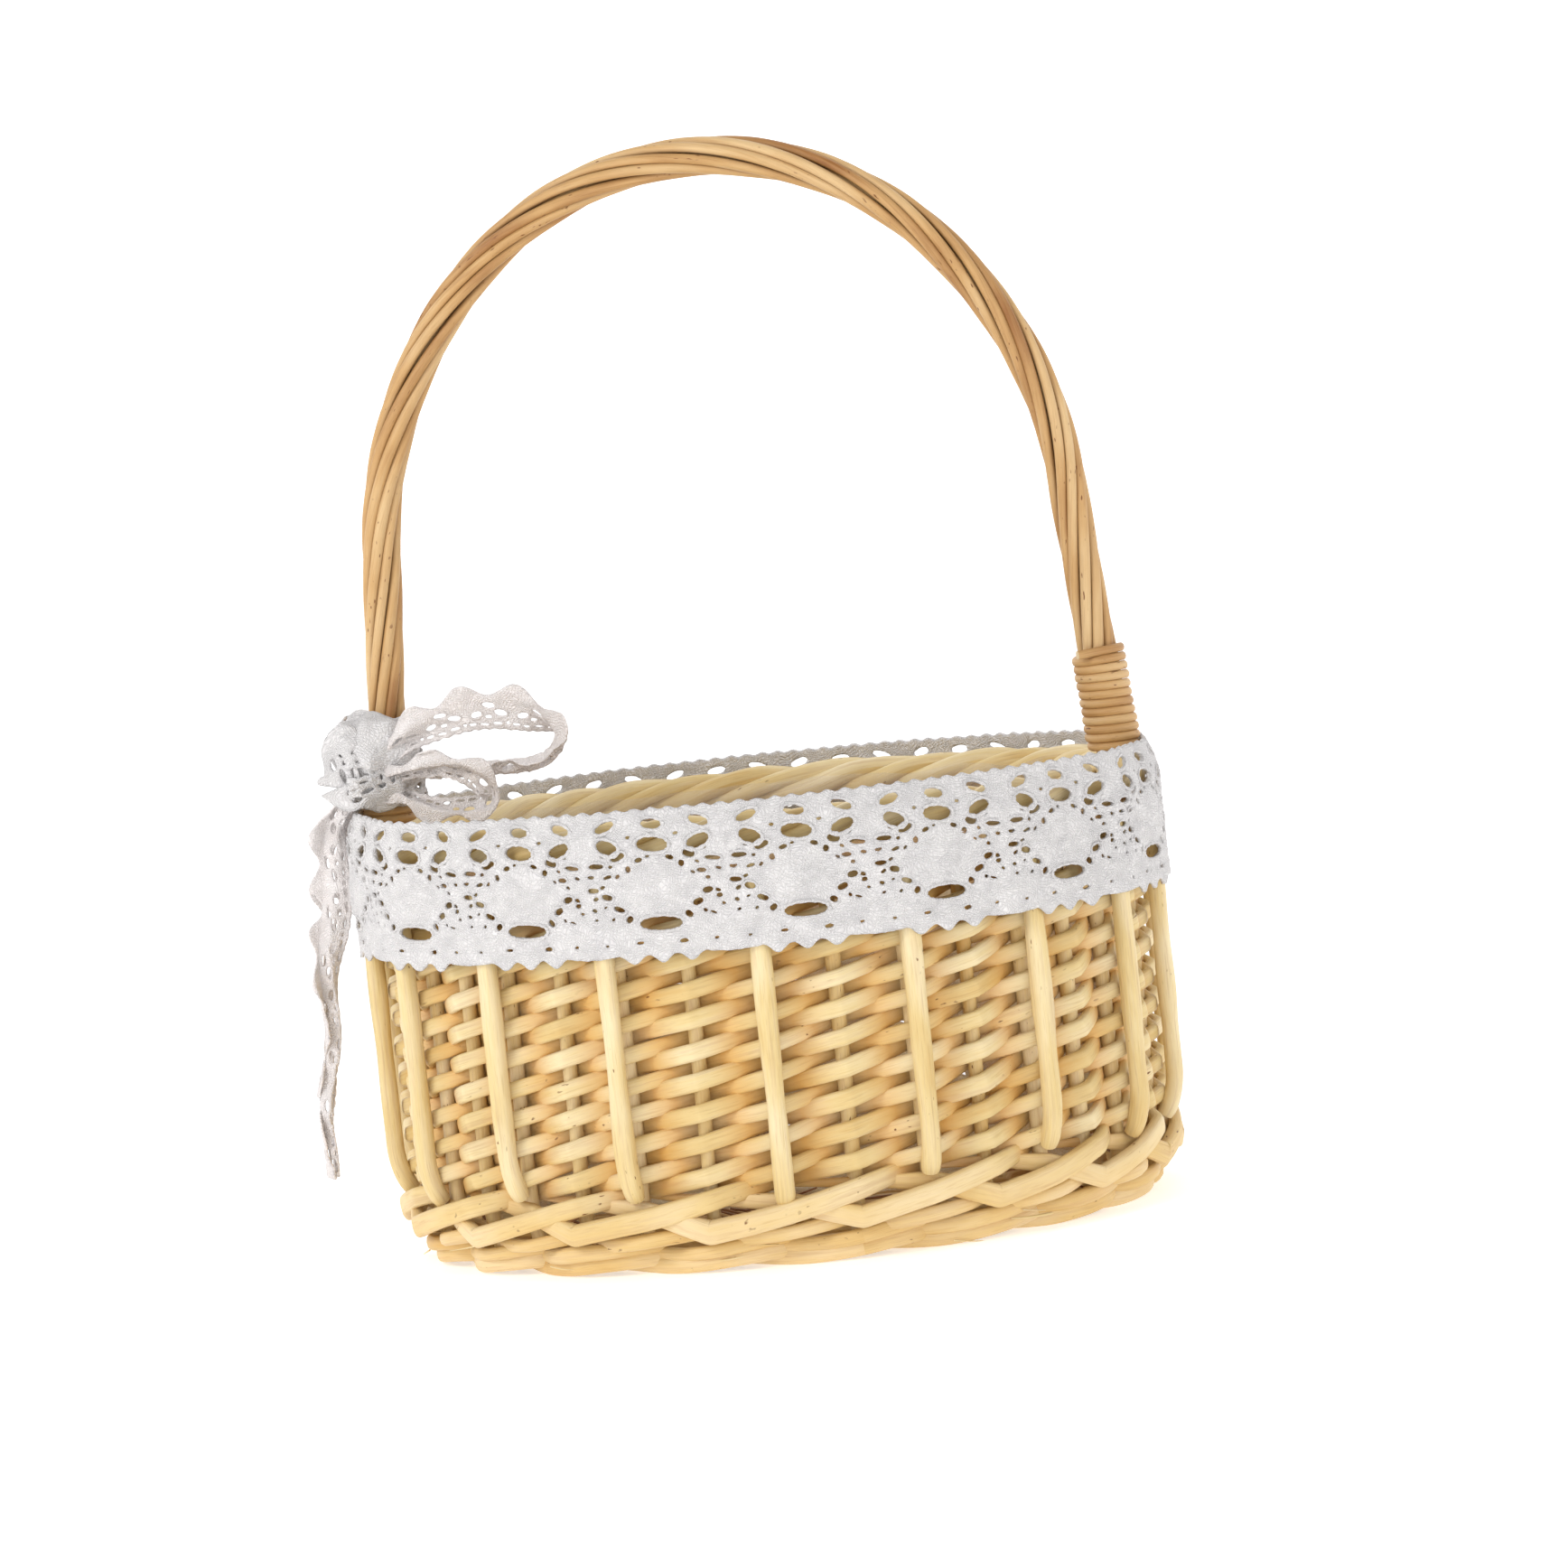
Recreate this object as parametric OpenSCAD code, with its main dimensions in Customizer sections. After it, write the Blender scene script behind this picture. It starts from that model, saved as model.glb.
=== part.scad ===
// Small oval wicker basket with an arched handle, a lace band, a film liner and a lace bow.
// Origin: middle of the foot, on the surface it stands on. +X is to the right, +Z is up.

/* [Basket] */
// Half length of the wall, to the middle of the inner stakes
wall_half_length = 87.5; // [84:0.5:91]
// Half width of the wall, to the middle of the inner stakes
wall_half_width = 64.5; // [62:0.5:67]
// Radius of the rounded ends of the wall
end_radius = 52; // [50:0.5:54]
// Height of the middle of the border
border_z = 98.3; // [98.3:0.1:99]

/* [Stakes] */
// Diameter of the thin inner stakes
inner_stake_d = 3.5; // [3.3:0.1:3.6]
// Diameter of the thick outer stakes
outer_stake_d = 4.2; // [3.8:0.1:4.4]
// Height at which the inner stakes start to bend in towards the foot
bend_z = 18; // [17:0.5:18]
// Radius of that bend
bend_radius = 32; // [32:1:40]
// How much narrower each bay is than the one before it, from the front to the ends
bay_ratio = 0.88; // [0.86:0.01:0.9]

/* [Weave] */
// Rise of a weaver from one bay to the next
row_pitch = 7.05; // [7.05:0.01:7.1]
// Height of the first stroke where it crosses a mid-bay stake
first_stroke_z = 9; // [9:0.1:9.2]
// Height of a weaver
weaver_h = 3.1; // [2.8:0.1:3.1]
// Thickness of a weaver
weaver_t = 2.5; // [2.2:0.1:2.5]
// Height of the long first stroke of a front weaver
stroke_h = 4.4; // [4:0.1:4.4]
// Thickness of the long first stroke of a front weaver
stroke_t = 5; // [4:0.1:5]
// Diameter of the border rods
border_rod_d = 4.6; // [4:0.1:4.6]
// Diameter of the foot rods
foot_rod_d = 3.4; // [3:0.1:3.4]

/* [Handle] */
// Height of the top of the handle
handle_top_z = 260; // [240:1:280]
// Diameter of one handle strand
strand_d = 2.5; // [2.3:0.1:2.5]
// Length of handle for one full twist
twist_pitch = 140; // [120:5:160]
// Diameter of the cane that binds the handle feet
cane_d = 2.1; // [1.9:0.1:2.1]
// Turns of cane on each foot
cane_turns = 11; // [8:1:11]

/* [Lace] */
// Height of the lower edge of the lace band
lace_low_z = 72.5; // [70:0.5:75]
// Height of the upper edge of the lace band
lace_high_z = 107.5; // [104.5:0.5:107.5]
// Thickness of the lace
lace_t = 1; // [0.8:0.1:1.2]
// Length of the front tail of the bow
tail_length = 84; // [60:1:84]
// Length of the back tail of the bow
back_tail_length = 66; // [50:1:70]

/* [Hidden] */
$fn = 28;
bays = 18;
gap = 0.1;

// The plan is an oval of four arcs, so that every offset of it is exact.
end_x = wall_half_length - end_radius;
side_radius = (end_x * end_x + wall_half_width * wall_half_width - end_radius * end_radius)
    / (2 * (wall_half_width - end_radius));
side_y = side_radius - wall_half_width;
side_angle = atan2(end_x, side_y);
end_angle = 90 - side_angle;
side_length = side_radius * side_angle * PI / 180;
quarter = side_length + end_radius * end_angle * PI / 180;
first_bay = quarter / (1 + bay_ratio + pow(bay_ratio, 2) + pow(bay_ratio, 3) + pow(bay_ratio, 4) / 2);

inner_r = inner_stake_d / 2;
outer_r = outer_stake_d / 2;
strand_ring_r = 3.4;
strand_count = 8;
core_r = strand_ring_r - strand_d / 2 - 0.05;
weaver_lane = inner_r + weaver_t / 2 + 0.6;
stroke_lane = inner_r + stroke_t / 2 + 0.9;
outer_stake_lane = weaver_lane + weaver_t / 2 + gap + outer_r;
lace_lane = outer_stake_lane + outer_r + 0.3;
border_lane = inner_r + border_rod_d / 2 + 0.25;
border_rise = border_rod_d / 2 + 0.1;
foot_lane = inner_r + foot_rod_d / 2 + 1.1;
foot_rise = foot_rod_d / 2;
foot_z = foot_rise + foot_rod_d / 2 * sin(60) - 0.3 * foot_rise;
stake_top_z = border_z + 2;
middle_low_z = 2.2;
post_low_z = 7;
wall_top_z = border_z - border_rise - border_rod_d / 2 - 0.4;
liner_gap = weaver_lane + weaver_t / 2 + 0.5;
liner_t = 0.5;
liner_floor_z = 12.8;
stick_z = 5.2;
cross_r = 2.3;
long_r = 1.2;
base_edge = -11.5;

// The handle's middle line: straight legs that lean in, then two arcs up to the top.
handle_r = strand_ring_r + strand_d / 2;
leg_lean = 4.5;
leg_start_z = border_z + 5.7;
leg_end_z = 170;
shoulder_angle = 45;
apex_z = handle_top_z - handle_r;
arc_x = wall_half_length - (leg_end_z - leg_start_z) * tan(leg_lean);
arc_z = apex_z - leg_end_z;
arc_turn = 90 - leg_lean;
m11 = sin(shoulder_angle);
m12 = sin(arc_turn) - sin(shoulder_angle);
m21 = 1 - cos(shoulder_angle);
m22 = cos(shoulder_angle) - cos(arc_turn);
top_radius = (arc_x * m22 - arc_z * m12) / (m11 * m22 - m12 * m21);
shoulder_radius = (m11 * arc_z - m21 * arc_x) / (m11 * m22 - m12 * m21);
shoulder_x = (top_radius - shoulder_radius) * sin(shoulder_angle);
shoulder_z = apex_z - top_radius + (top_radius - shoulder_radius) * cos(shoulder_angle);
leg_length = (leg_end_z - leg_start_z) / cos(leg_lean);
shoulder_length = shoulder_radius * (arc_turn - shoulder_angle) * PI / 180;
top_length = top_radius * shoulder_angle * PI / 180;
half_handle = leg_length + shoulder_length + top_length;

// The bow sits on the left foot of the handle.
bow_z = 116;
knot_r = 8.5;
wrap_r = strand_ring_r + strand_d / 2 + cane_d + 0.4;
bow_x = -wall_half_length + (bow_z - leg_start_z) * tan(leg_lean);
knot_x = -93;
knot_y = -8;
loop_left_x = knot_x + knot_r + 0.2;
loop_y = -19;
loop_depth = 10.5;
tail_x = -103.5;
tail_z = 105.5;
tail_lean = 4;

// ---- plan oval ----
// A place on the wall is a length s along it from the middle of the front, towards +X.
function in_quarter(s) = s <= side_length ? s / side_radius * 180 / PI
    : side_angle + (s - side_length) / end_radius * 180 / PI;
function corner_of(s) = s <= side_length ? [0, side_y] : [end_x, 0];
function radius_of(s) = s <= side_length ? side_radius : end_radius;
function quarter_point(s, d) = corner_of(s)
    + (radius_of(s) + d) * [sin(in_quarter(s)), -cos(in_quarter(s))];
function wrapped(s) = s - 4 * quarter * floor(s / (4 * quarter));
function folded(w) = w <= quarter ? [w, 1, 1]
    : w <= 2 * quarter ? [2 * quarter - w, 1, -1]
    : w <= 3 * quarter ? [w - 2 * quarter, -1, -1]
    : [4 * quarter - w, -1, 1];
function plan(s, d) = let (f = folded(wrapped(s)), p = quarter_point(f[0], d)) [p[0] * f[1], p[1] * f[2]];
function outward(s) = plan(s, 1) - plan(s, 0);
function heading(s) = let (n = outward(s)) atan2(n[1], n[0]);

// ---- stakes ----
// Outer stake j, and the inner stake behind it, stand at post(j). Mid-bay stake j is at middle(j).
function bay_sum(j) = first_bay * (1 - pow(bay_ratio, j)) / (1 - bay_ratio);
function post_in_turn(j) = j <= 4 ? bay_sum(j)
    : j <= 9 ? 2 * quarter - bay_sum(9 - j)
    : j <= 13 ? 2 * quarter + bay_sum(j - 9)
    : 4 * quarter - bay_sum(18 - j);
function post(j) = let (t = floor(j / bays)) post_in_turn(j - bays * t) + 4 * quarter * t;
function middle(j) = (post(j) + post(j + 1)) / 2;
// Half bays count posts and middles in turn: 0 is post 0, 1 is middle 0, 2 is post 1.
function at_half_bay(k) = k % 2 == 0 ? post(k / 2) : middle((k - 1) / 2);

// The wall bends in below bend_z, along an arc.
function lean(z) = z >= bend_z ? 0 : asin((bend_z - z) / bend_radius);
function drawn_in(z) = bend_radius * (1 - cos(lean(z)));

// A point of the wall, moved out by the lane, across the stakes.
function wall_point(s, z, lane, up) = let (
        n = outward(s), a = lean(z), out = lane * cos(a) + up * sin(a) - drawn_in(z)
    ) [plan(s, 0)[0] + n[0] * out, plan(s, 0)[1] + n[1] * out, z - lane * sin(a) + up * cos(a)];

// ---- sweeps ----
module skin(rings, closed) {
    n = len(rings[0]);
    m = len(rings);
    sides = [for (i = [0:m - (closed ? 1 : 2)]) for (j = [0:n - 1]) for (half = [0, 1])
        let (k = (i + 1) % m, l = (j + 1) % n)
        half == 0 ? [i * n + j, i * n + l, k * n + l] : [i * n + j, k * n + l, k * n + j]];
    first = [[for (j = [n - 1:-1:0]) j]];
    last = [[for (j = [0:n - 1]) (m - 1) * n + j]];
    polyhedron([for (r = rings) for (p = r) p], closed ? sides : concat(first, sides, last), convexity = 8);
}

// One weaver, through stations [s, z, lane, height, thickness], with a four-sided section.
module weaver(stations) {
    skin([for (q = stations) [for (c = [[1, 1], [1, -1], [-1, -1], [-1, 1]])
        wall_point(q[0], q[1], q[2] + c[0] * q[4] / 2, c[1] * q[3] / 2)]], false);
}

// A rod of a twisted pair that runs round the whole basket, half a turn a bay. No point of it goes
// below the ground, so the foot rods are flat where they stand.
module paired_rod(z, lane, rise, d, phase) {
    steps = 4;
    skin([for (i = [0:bays * steps - 1])
        let (
            b = floor(i / steps), f = (i % steps) / steps,
            s = middle(b) + f * (middle(b + 1) - middle(b)),
            turn = 180 * i / steps + phase,
            out = lane * cos(turn) - drawn_in(z), up = z + rise * sin(turn), n = outward(s)
        )
        [for (a = [300:-60:0]) [
            plan(s, 0)[0] + n[0] * (out + d / 2 * cos(a)),
            plan(s, 0)[1] + n[1] * (out + d / 2 * cos(a)),
            max(0, up + d / 2 * sin(a))]]], true);
}

// The plan oval as a flat outline, moved out by d.
module oval(d) {
    intersection_for (side = [-1, 1])
        translate([0, side * side_y])
            circle(side_radius + d, $fn = 180);
}

module oval_outline(d) {
    tip = end_x + (end_radius + d) * cos(end_angle);
    intersection() {
        oval(d);
        square([2 * tip, 2 * (wall_half_width + d)], center = true);
    }
    for (side = [-1, 1])
        translate([side * end_x, 0])
            circle(end_radius + d, $fn = 120);
}

module oval_wall(d, t, h) {
    linear_extrude(h)
        difference() {
            oval_outline(d + t);
            oval_outline(d);
        }
}

// ---- base ----
cross_x = [for (i = [-2:2]) i * 21];
long_y = [for (i = [-3:3]) i * 5.2];

// Half width of the base at a distance x from its middle, and half length at y
function base_reach_y(x) = abs(x) <= (side_radius + base_edge) * sin(side_angle)
    ? sqrt(pow(side_radius + base_edge, 2) - x * x) - side_y
    : sqrt(pow(end_radius + base_edge, 2) - pow(abs(x) - end_x, 2));
function base_reach_x(y) = end_x + sqrt(pow(end_radius + base_edge, 2) - y * y);

module base_cross_sticks() {
    color("burlywood")
        difference() {
            for (x = cross_x)
                translate([x, base_reach_y(x), stick_z])
                    rotate([90, 0, 0])
                        cylinder(h = 2 * base_reach_y(x), r = cross_r);
            for (y = long_y)
                translate([-wall_half_length, y, stick_z])
                    rotate([0, 90, 0])
                        cylinder(h = 2 * wall_half_length, r = long_r + gap / 2);
        }
}

module base_long_sticks() {
    color("tan")
        for (y = long_y)
            translate([-base_reach_x(y), y, stick_z])
                rotate([0, 90, 0])
                    cylinder(h = 2 * base_reach_x(y), r = long_r);
}

module base_weave() {
    ring_r = 1.3;
    color("wheat")
        for (i = [0:8], level = [-1, 1])
            translate([0, 0, stick_z + level * (cross_r + ring_r + gap) - ring_r])
                oval_wall(base_edge - 2 * ring_r - i * 4, 2 * ring_r, 2 * ring_r);
}

// ---- stakes ----
// A stake that rises from low_z, bends out to the wall line and runs up to high_z.
module bent_stake(s, low_z, high_z, r) {
    a = lean(low_z);
    translate([plan(s, 0)[0], plan(s, 0)[1], bend_z])
        rotate([0, 0, heading(s)]) {
            cylinder(h = high_z - bend_z, r = r);
            translate([-bend_radius, 0, 0])
                rotate([90, 0, 0])
                    mirror([0, 1, 0])
                        rotate_extrude(angle = a)
                            translate([bend_radius, 0])
                                circle(r);
        }
}

module inner_stakes() {
    color("burlywood")
        for (j = [0:bays - 1]) {
            bent_stake(post(j), post_low_z, wall_top_z, inner_r);
            if (j % 9 != 4)
                bent_stake(middle(j), middle_low_z, stake_top_z, inner_r);
        }
}

// The outer stakes stand clear of the weave and turn in at the bottom, over the long strokes.
module outer_stakes() {
    turn_z = 22;
    turn_radius = 14;
    turn = 30;
    color("wheat")
        for (j = [0:bays - 1])
            translate([plan(post(j), outer_stake_lane)[0], plan(post(j), outer_stake_lane)[1], turn_z])
                rotate([0, 0, heading(post(j))]) {
                    cylinder(h = wall_top_z - turn_z, r = outer_r);
                    translate([-turn_radius, 0, 0])
                        rotate([90, 0, 0])
                            mirror([0, 1, 0])
                                rotate_extrude(angle = turn)
                                    translate([turn_radius, 0])
                                        circle(outer_r);
                }
}

// ---- foot, weave and border ----
module foot_rod(number) {
    color("burlywood")
        paired_rod(foot_z, foot_lane, foot_rise, foot_rod_d, 180 * number);
}

// A front weaver comes from behind a post, makes one long thick stroke in front of three
// stakes, and then passes in front of each mid-bay stake and behind each post.
module front_weaver(number) {
    first = 2 * (number - 1);
    start = [at_half_bay(first), first_stroke_z + 1.6, -inner_r - 1.9, 3.2, 3.2];
    stroke = [for (k = [1:3])
        [at_half_bay(first + k), first_stroke_z + (k - 1) * row_pitch / 2, stroke_lane,
            k == 3 ? weaver_h : stroke_h, stroke_t]];
    climb = [for (k = [4:24])
        [at_half_bay(first + k), first_stroke_z + (k - 1) * row_pitch / 2,
            k % 2 == 0 ? -weaver_lane : weaver_lane, weaver_h, weaver_t]];
    color(number % 2 == 0 ? "wheat" : "moccasin")
        weaver(concat([start], stroke, climb));
}

// A back weaver passes behind each mid-bay stake and in front of each post.
module back_weaver(number) {
    first = 2 * number - 1;
    low = first_stroke_z + row_pitch * 1.5;
    color("peru")
        weaver([for (k = [0:20])
            [at_half_bay(first + k), low + k * row_pitch / 2,
                k % 2 == 0 ? -weaver_lane : weaver_lane, weaver_h, weaver_t]]);
}

module border_rod(number) {
    color("wheat")
        paired_rod(border_z, border_lane, border_rise, border_rod_d, 180 * number);
}

// ---- handle ----
// The middle line at length t from the foot: [x, z, angle of the outward normal above +X].
function half_line(t) = t <= leg_length
    ? [wall_half_length - t * sin(leg_lean), leg_start_z + t * cos(leg_lean), leg_lean]
    : t <= leg_length + shoulder_length
    ? let (a = leg_lean + (t - leg_length) / shoulder_radius * 180 / PI)
        [shoulder_x + shoulder_radius * cos(a), shoulder_z + shoulder_radius * sin(a), a]
    : let (a = 90 - shoulder_angle + (t - leg_length - shoulder_length) / top_radius * 180 / PI)
        [top_radius * cos(a), apex_z - top_radius + top_radius * sin(a), a];
function handle_line(t) = t <= half_handle
    ? let (p = half_line(t)) [-p[0], p[1], 180 - p[2]]
    : half_line(2 * half_handle - t);

// The core is one rod: it comes up out of the weave, runs over the arch and goes down again.
// A station is [x, z, angle of the outward normal above +X, radius].
function left_end(i, n) = let (z = middle_low_z + (bend_z - middle_low_z) * i / n)
    [-wall_half_length + drawn_in(z), z, 180 + lean(z), inner_r];

module handle_core() {
    bend_steps = 4;
    arch_steps = 40;
    left = [for (i = [0:bend_steps]) left_end(i, bend_steps)];
    rim = [[-wall_half_length, leg_start_z - 1, 180, inner_r]];
    arch = [for (i = [0:arch_steps])
        let (p = handle_line(2 * half_handle * i / arch_steps)) [p[0], p[1], p[2], core_r]];
    right = [for (q = [for (i = [bend_steps:-1:0]) left[i]]) [-q[0], q[1], 180 - q[2], q[3]]];
    far_rim = [[wall_half_length, leg_start_z - 1, 0, inner_r]];
    color("peru")
        skin([for (q = concat(left, rim, arch, far_rim, right))
            [for (a = [0:45:315]) [
                q[0] + q[3] * cos(a) * cos(q[2]),
                -q[3] * sin(a),
                q[1] + q[3] * cos(a) * sin(q[2])]]], false);
}

module handle_strands() {
    rings = 34;
    color("goldenrod")
        for (k = [0:strand_count - 1])
            skin([for (i = [0:rings])
                let (
                    t = 0.4 + (2 * half_handle - 0.8) * i / rings, p = handle_line(t),
                    turn = 360 * (k / strand_count + t / twist_pitch)
                )
                [for (a = [0:90:270]) let (
                        out = strand_ring_r * cos(turn) + strand_d / 2 * cos(a + turn + 45),
                        across = -strand_ring_r * sin(turn) - strand_d / 2 * sin(a + turn + 45)
                    ) [p[0] + out * cos(p[2]), across, p[1] + out * sin(p[2])]]], false);
}

// Cane wound round one foot, with its cut end standing out towards the middle of the basket.
module handle_binding(side) {
    wind_r = handle_r + cane_d / 2 + 0.1;
    first = cane_d / 2 + 0.3;
    color("goldenrod")
        translate([side * wall_half_length, 0, leg_start_z])
            rotate([0, -side * leg_lean, 0]) {
                for (i = [0:cane_turns - 1])
                    translate([0, 0, first + i * (cane_d - 0.02)])
                        rotate_extrude()
                            translate([wind_r, 0])
                                circle(cane_d / 2);
                translate([0, -wind_r, first + (cane_turns - 1) * (cane_d - 0.02)])
                    rotate([0, -side * 90, 0])
                        cylinder(h = 9, r = 0.9);
            }
}

// ---- liner and lace ----
module liner() {
    depth = wall_top_z - liner_floor_z;
    color("linen")
        translate([0, 0, liner_floor_z])
            difference() {
                linear_extrude(depth)
                    oval_outline(-liner_gap);
                translate([0, 0, liner_t])
                    linear_extrude(depth)
                        oval_outline(-liner_gap - liner_t);
            }
}

module lace_band() {
    color("white")
        translate([0, 0, lace_low_z])
            oval_wall(lace_lane, lace_t, lace_high_z - lace_low_z);
}

// ---- bow ----
// Puts its children at height z on the middle line of the left foot.
module on_left_foot(z) {
    translate([-wall_half_length, 0, leg_start_z])
        rotate([0, leg_lean, 0])
            translate([0, 0, z - leg_start_z])
                children();
}

module bow_wrap() {
    color("white")
        on_left_foot(bow_z - 9.5)
            difference() {
                cylinder(h = 18, r = wrap_r + lace_t);
                translate([0, 0, -1])
                    cylinder(h = 20, r = wrap_r);
            }
}

module bow_knot() {
    color("snow")
        difference() {
            translate([knot_x, knot_y, bow_z])
                sphere(knot_r);
            on_left_foot(bow_z - 20)
                cylinder(h = 40, r = wrap_r + lace_t + 0.1);
        }
}

// A loop of ribbon that lies open towards the front, from the knot to reach_x.
module bow_loop(low_z, high_z, reach_x) {
    r = (high_z - low_z) / 2;
    translate([loop_left_x, loop_y + loop_depth, low_z + r])
        rotate([90, 0, 0])
            linear_extrude(loop_depth)
                difference() {
                    bar(reach_x - loop_left_x, r);
                    translate([lace_t, 0])
                        bar(reach_x - loop_left_x - 2 * lace_t, r - lace_t);
                }
}

// A flat bar with round ends, length long and 2 r high, that starts at x = 0.
module bar(length, r) {
    translate([r, -r])
        square([length - 2 * r, 2 * r]);
    translate([r, 0])
        circle(r, $fn = 40);
    translate([length - r, 0])
        circle(r, $fn = 40);
}

module bow_loop_upper() {
    color("snow")
        bow_loop(117.6, 134, -45);
}

module bow_loop_lower() {
    color("snow")
        bow_loop(106, 117.2, -61);
}

// A tail that hangs from the knot, narrowing downwards.
module bow_tail(y, length) {
    top_w = 7;
    low_w = 3.4;
    depth = 3;
    color("white")
        translate([tail_x, y + depth / 2, tail_z])
            rotate([90, 0, 0])
                linear_extrude(depth)
                    rotate(-tail_lean)
                        polygon([[-top_w / 2, 1], [top_w / 2, 1], [low_w / 2, -length], [-low_w / 2, -length]]);
}

module bow_tail_front() {
    bow_tail(-8, tail_length);
}

module bow_tail_back() {
    bow_tail(2, back_tail_length);
}

base_cross_sticks();
base_long_sticks();
base_weave();
inner_stakes();
outer_stakes();
foot_rod(1);  // foot_rod_1
foot_rod(2);  // foot_rod_2
for (i = [1:bays])
    front_weaver(i);
for (i = [1:bays])
    back_weaver(i);
border_rod(1);  // border_rod_1
border_rod(2);  // border_rod_2
handle_core();
handle_strands();
handle_binding(-1);  // handle_binding_left
handle_binding(1);  // handle_binding_right
liner();
lace_band();
bow_wrap();
bow_knot();
bow_loop_upper();
bow_loop_lower();
bow_tail_front();
bow_tail_back();
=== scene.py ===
import math
import random

import bpy
import numpy as np
from mathutils import Matrix, Vector, noise
from mathutils.geometry import delaunay_2d_cdt
import bmesh


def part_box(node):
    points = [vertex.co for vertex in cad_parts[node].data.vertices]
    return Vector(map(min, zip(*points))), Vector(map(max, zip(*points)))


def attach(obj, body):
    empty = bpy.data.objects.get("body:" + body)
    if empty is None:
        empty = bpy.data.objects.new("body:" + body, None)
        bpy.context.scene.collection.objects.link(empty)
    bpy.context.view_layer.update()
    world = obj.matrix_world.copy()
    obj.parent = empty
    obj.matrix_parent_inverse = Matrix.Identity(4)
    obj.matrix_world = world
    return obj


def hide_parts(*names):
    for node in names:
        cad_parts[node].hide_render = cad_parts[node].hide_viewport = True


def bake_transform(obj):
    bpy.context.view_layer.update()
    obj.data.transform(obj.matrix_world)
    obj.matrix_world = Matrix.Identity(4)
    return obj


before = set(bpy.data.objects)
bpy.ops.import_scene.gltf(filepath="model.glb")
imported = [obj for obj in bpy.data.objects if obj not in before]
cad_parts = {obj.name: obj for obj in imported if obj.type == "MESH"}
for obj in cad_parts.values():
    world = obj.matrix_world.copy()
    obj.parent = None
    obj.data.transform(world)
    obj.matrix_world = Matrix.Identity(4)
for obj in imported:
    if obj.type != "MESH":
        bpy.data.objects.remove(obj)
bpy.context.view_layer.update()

TAU = 2 * math.pi
MM = 0.001  # everything below is worked out in millimetres and built in metres

# ---------------------------------------------------------------- sizes
# These repeat the CAD model's driving sizes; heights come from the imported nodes.
END_RADIUS = 52.0
INNER_R = 1.75
OUTER_R = 2.1
BAYS = 18
BAY_RATIO = 0.88
BEND_Z = 18.0
BEND_RADIUS = 32.0
ROW_PITCH = 7.05
FIRST_STROKE_Z = 9.0
STRAND_RING_R = 3.4
STRAND_R = 1.25
CANE_R = 1.05
TWIST_PITCH = 140.0
OUTER_LANE = 7.05
LACE_LANE = 9.45
LACE_T = 1.0
CUT_DOME = 0.12  # how far the middle of a rod's cut end stands out


def node_box(name):
    low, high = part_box(name)
    return [v / MM for v in low], [v / MM for v in high]


lace_low, lace_high = node_box("lace_band")
WALL_A = lace_high[0] - LACE_LANE - LACE_T
WALL_B = lace_high[1] - LACE_LANE - LACE_T
LACE_LOW_Z, LACE_TOP_Z = lace_low[2], lace_high[2]
border_low, border_high = node_box("border_rod_1")
BORDER_Z = (border_low[2] + border_high[2]) / 2
liner_low, liner_high = node_box("liner")
LINER_FLOOR_Z = liner_low[2]
WALL_TOP_Z = liner_high[2]
HANDLE_TOP_Z = node_box("handle_strands")[1][2]

# ---------------------------------------------------------------- plan oval
END_X = WALL_A - END_RADIUS
SIDE_RADIUS = (END_X**2 + WALL_B**2 - END_RADIUS**2) / (2 * (WALL_B - END_RADIUS))
SIDE_Y = SIDE_RADIUS - WALL_B
SIDE_TURN = math.atan2(END_X, SIDE_Y)
SIDE_LENGTH = SIDE_RADIUS * SIDE_TURN
QUARTER = SIDE_LENGTH + END_RADIUS * (math.pi / 2 - SIDE_TURN)
FULL = 4 * QUARTER
FIRST_BAY = QUARTER / (1 + BAY_RATIO + BAY_RATIO**2 + BAY_RATIO**3 + BAY_RATIO**4 / 2)


def plan(s, d):
    """Points of the oval at lengths s from the middle of the front, moved out by d, with normals."""
    s = np.asarray(s, float) % FULL
    q = np.minimum(np.floor(s / QUARTER).astype(int), 3)
    f = np.where(q % 2 == 0, s - q * QUARTER, (q + 1) * QUARTER - s)
    side = f <= SIDE_LENGTH
    turn = np.where(side, f / SIDE_RADIUS, SIDE_TURN + (f - SIDE_LENGTH) / END_RADIUS)
    sx = np.where(q < 2, 1.0, -1.0)
    sy = np.where((q == 0) | (q == 3), 1.0, -1.0)
    nx, ny = np.sin(turn) * sx, -np.cos(turn) * sy
    r = np.where(side, SIDE_RADIUS, END_RADIUS) + d
    x = np.where(side, 0.0, END_X) * sx + r * nx
    y = np.where(side, SIDE_Y, 0.0) * sy + r * ny
    return x, y, nx, ny


def bay_sum(j):
    return FIRST_BAY * (1 - BAY_RATIO**j) / (1 - BAY_RATIO)


def post(j):
    """Length along the wall of outer stake j, counted on round the basket."""
    turn, k = divmod(j, BAYS)
    if k <= 4:
        s = bay_sum(k)
    elif k <= 9:
        s = 2 * QUARTER - bay_sum(9 - k)
    elif k <= 13:
        s = 2 * QUARTER + bay_sum(k - 9)
    else:
        s = 4 * QUARTER - bay_sum(BAYS - k)
    return s + FULL * turn


def middle(j):
    return (post(j) + post(j + 1)) / 2


def at_half_bay(k):
    """Even half bays are posts, odd ones the middles between them."""
    return post(k // 2) if k % 2 == 0 else middle((k - 1) // 2)


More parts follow.
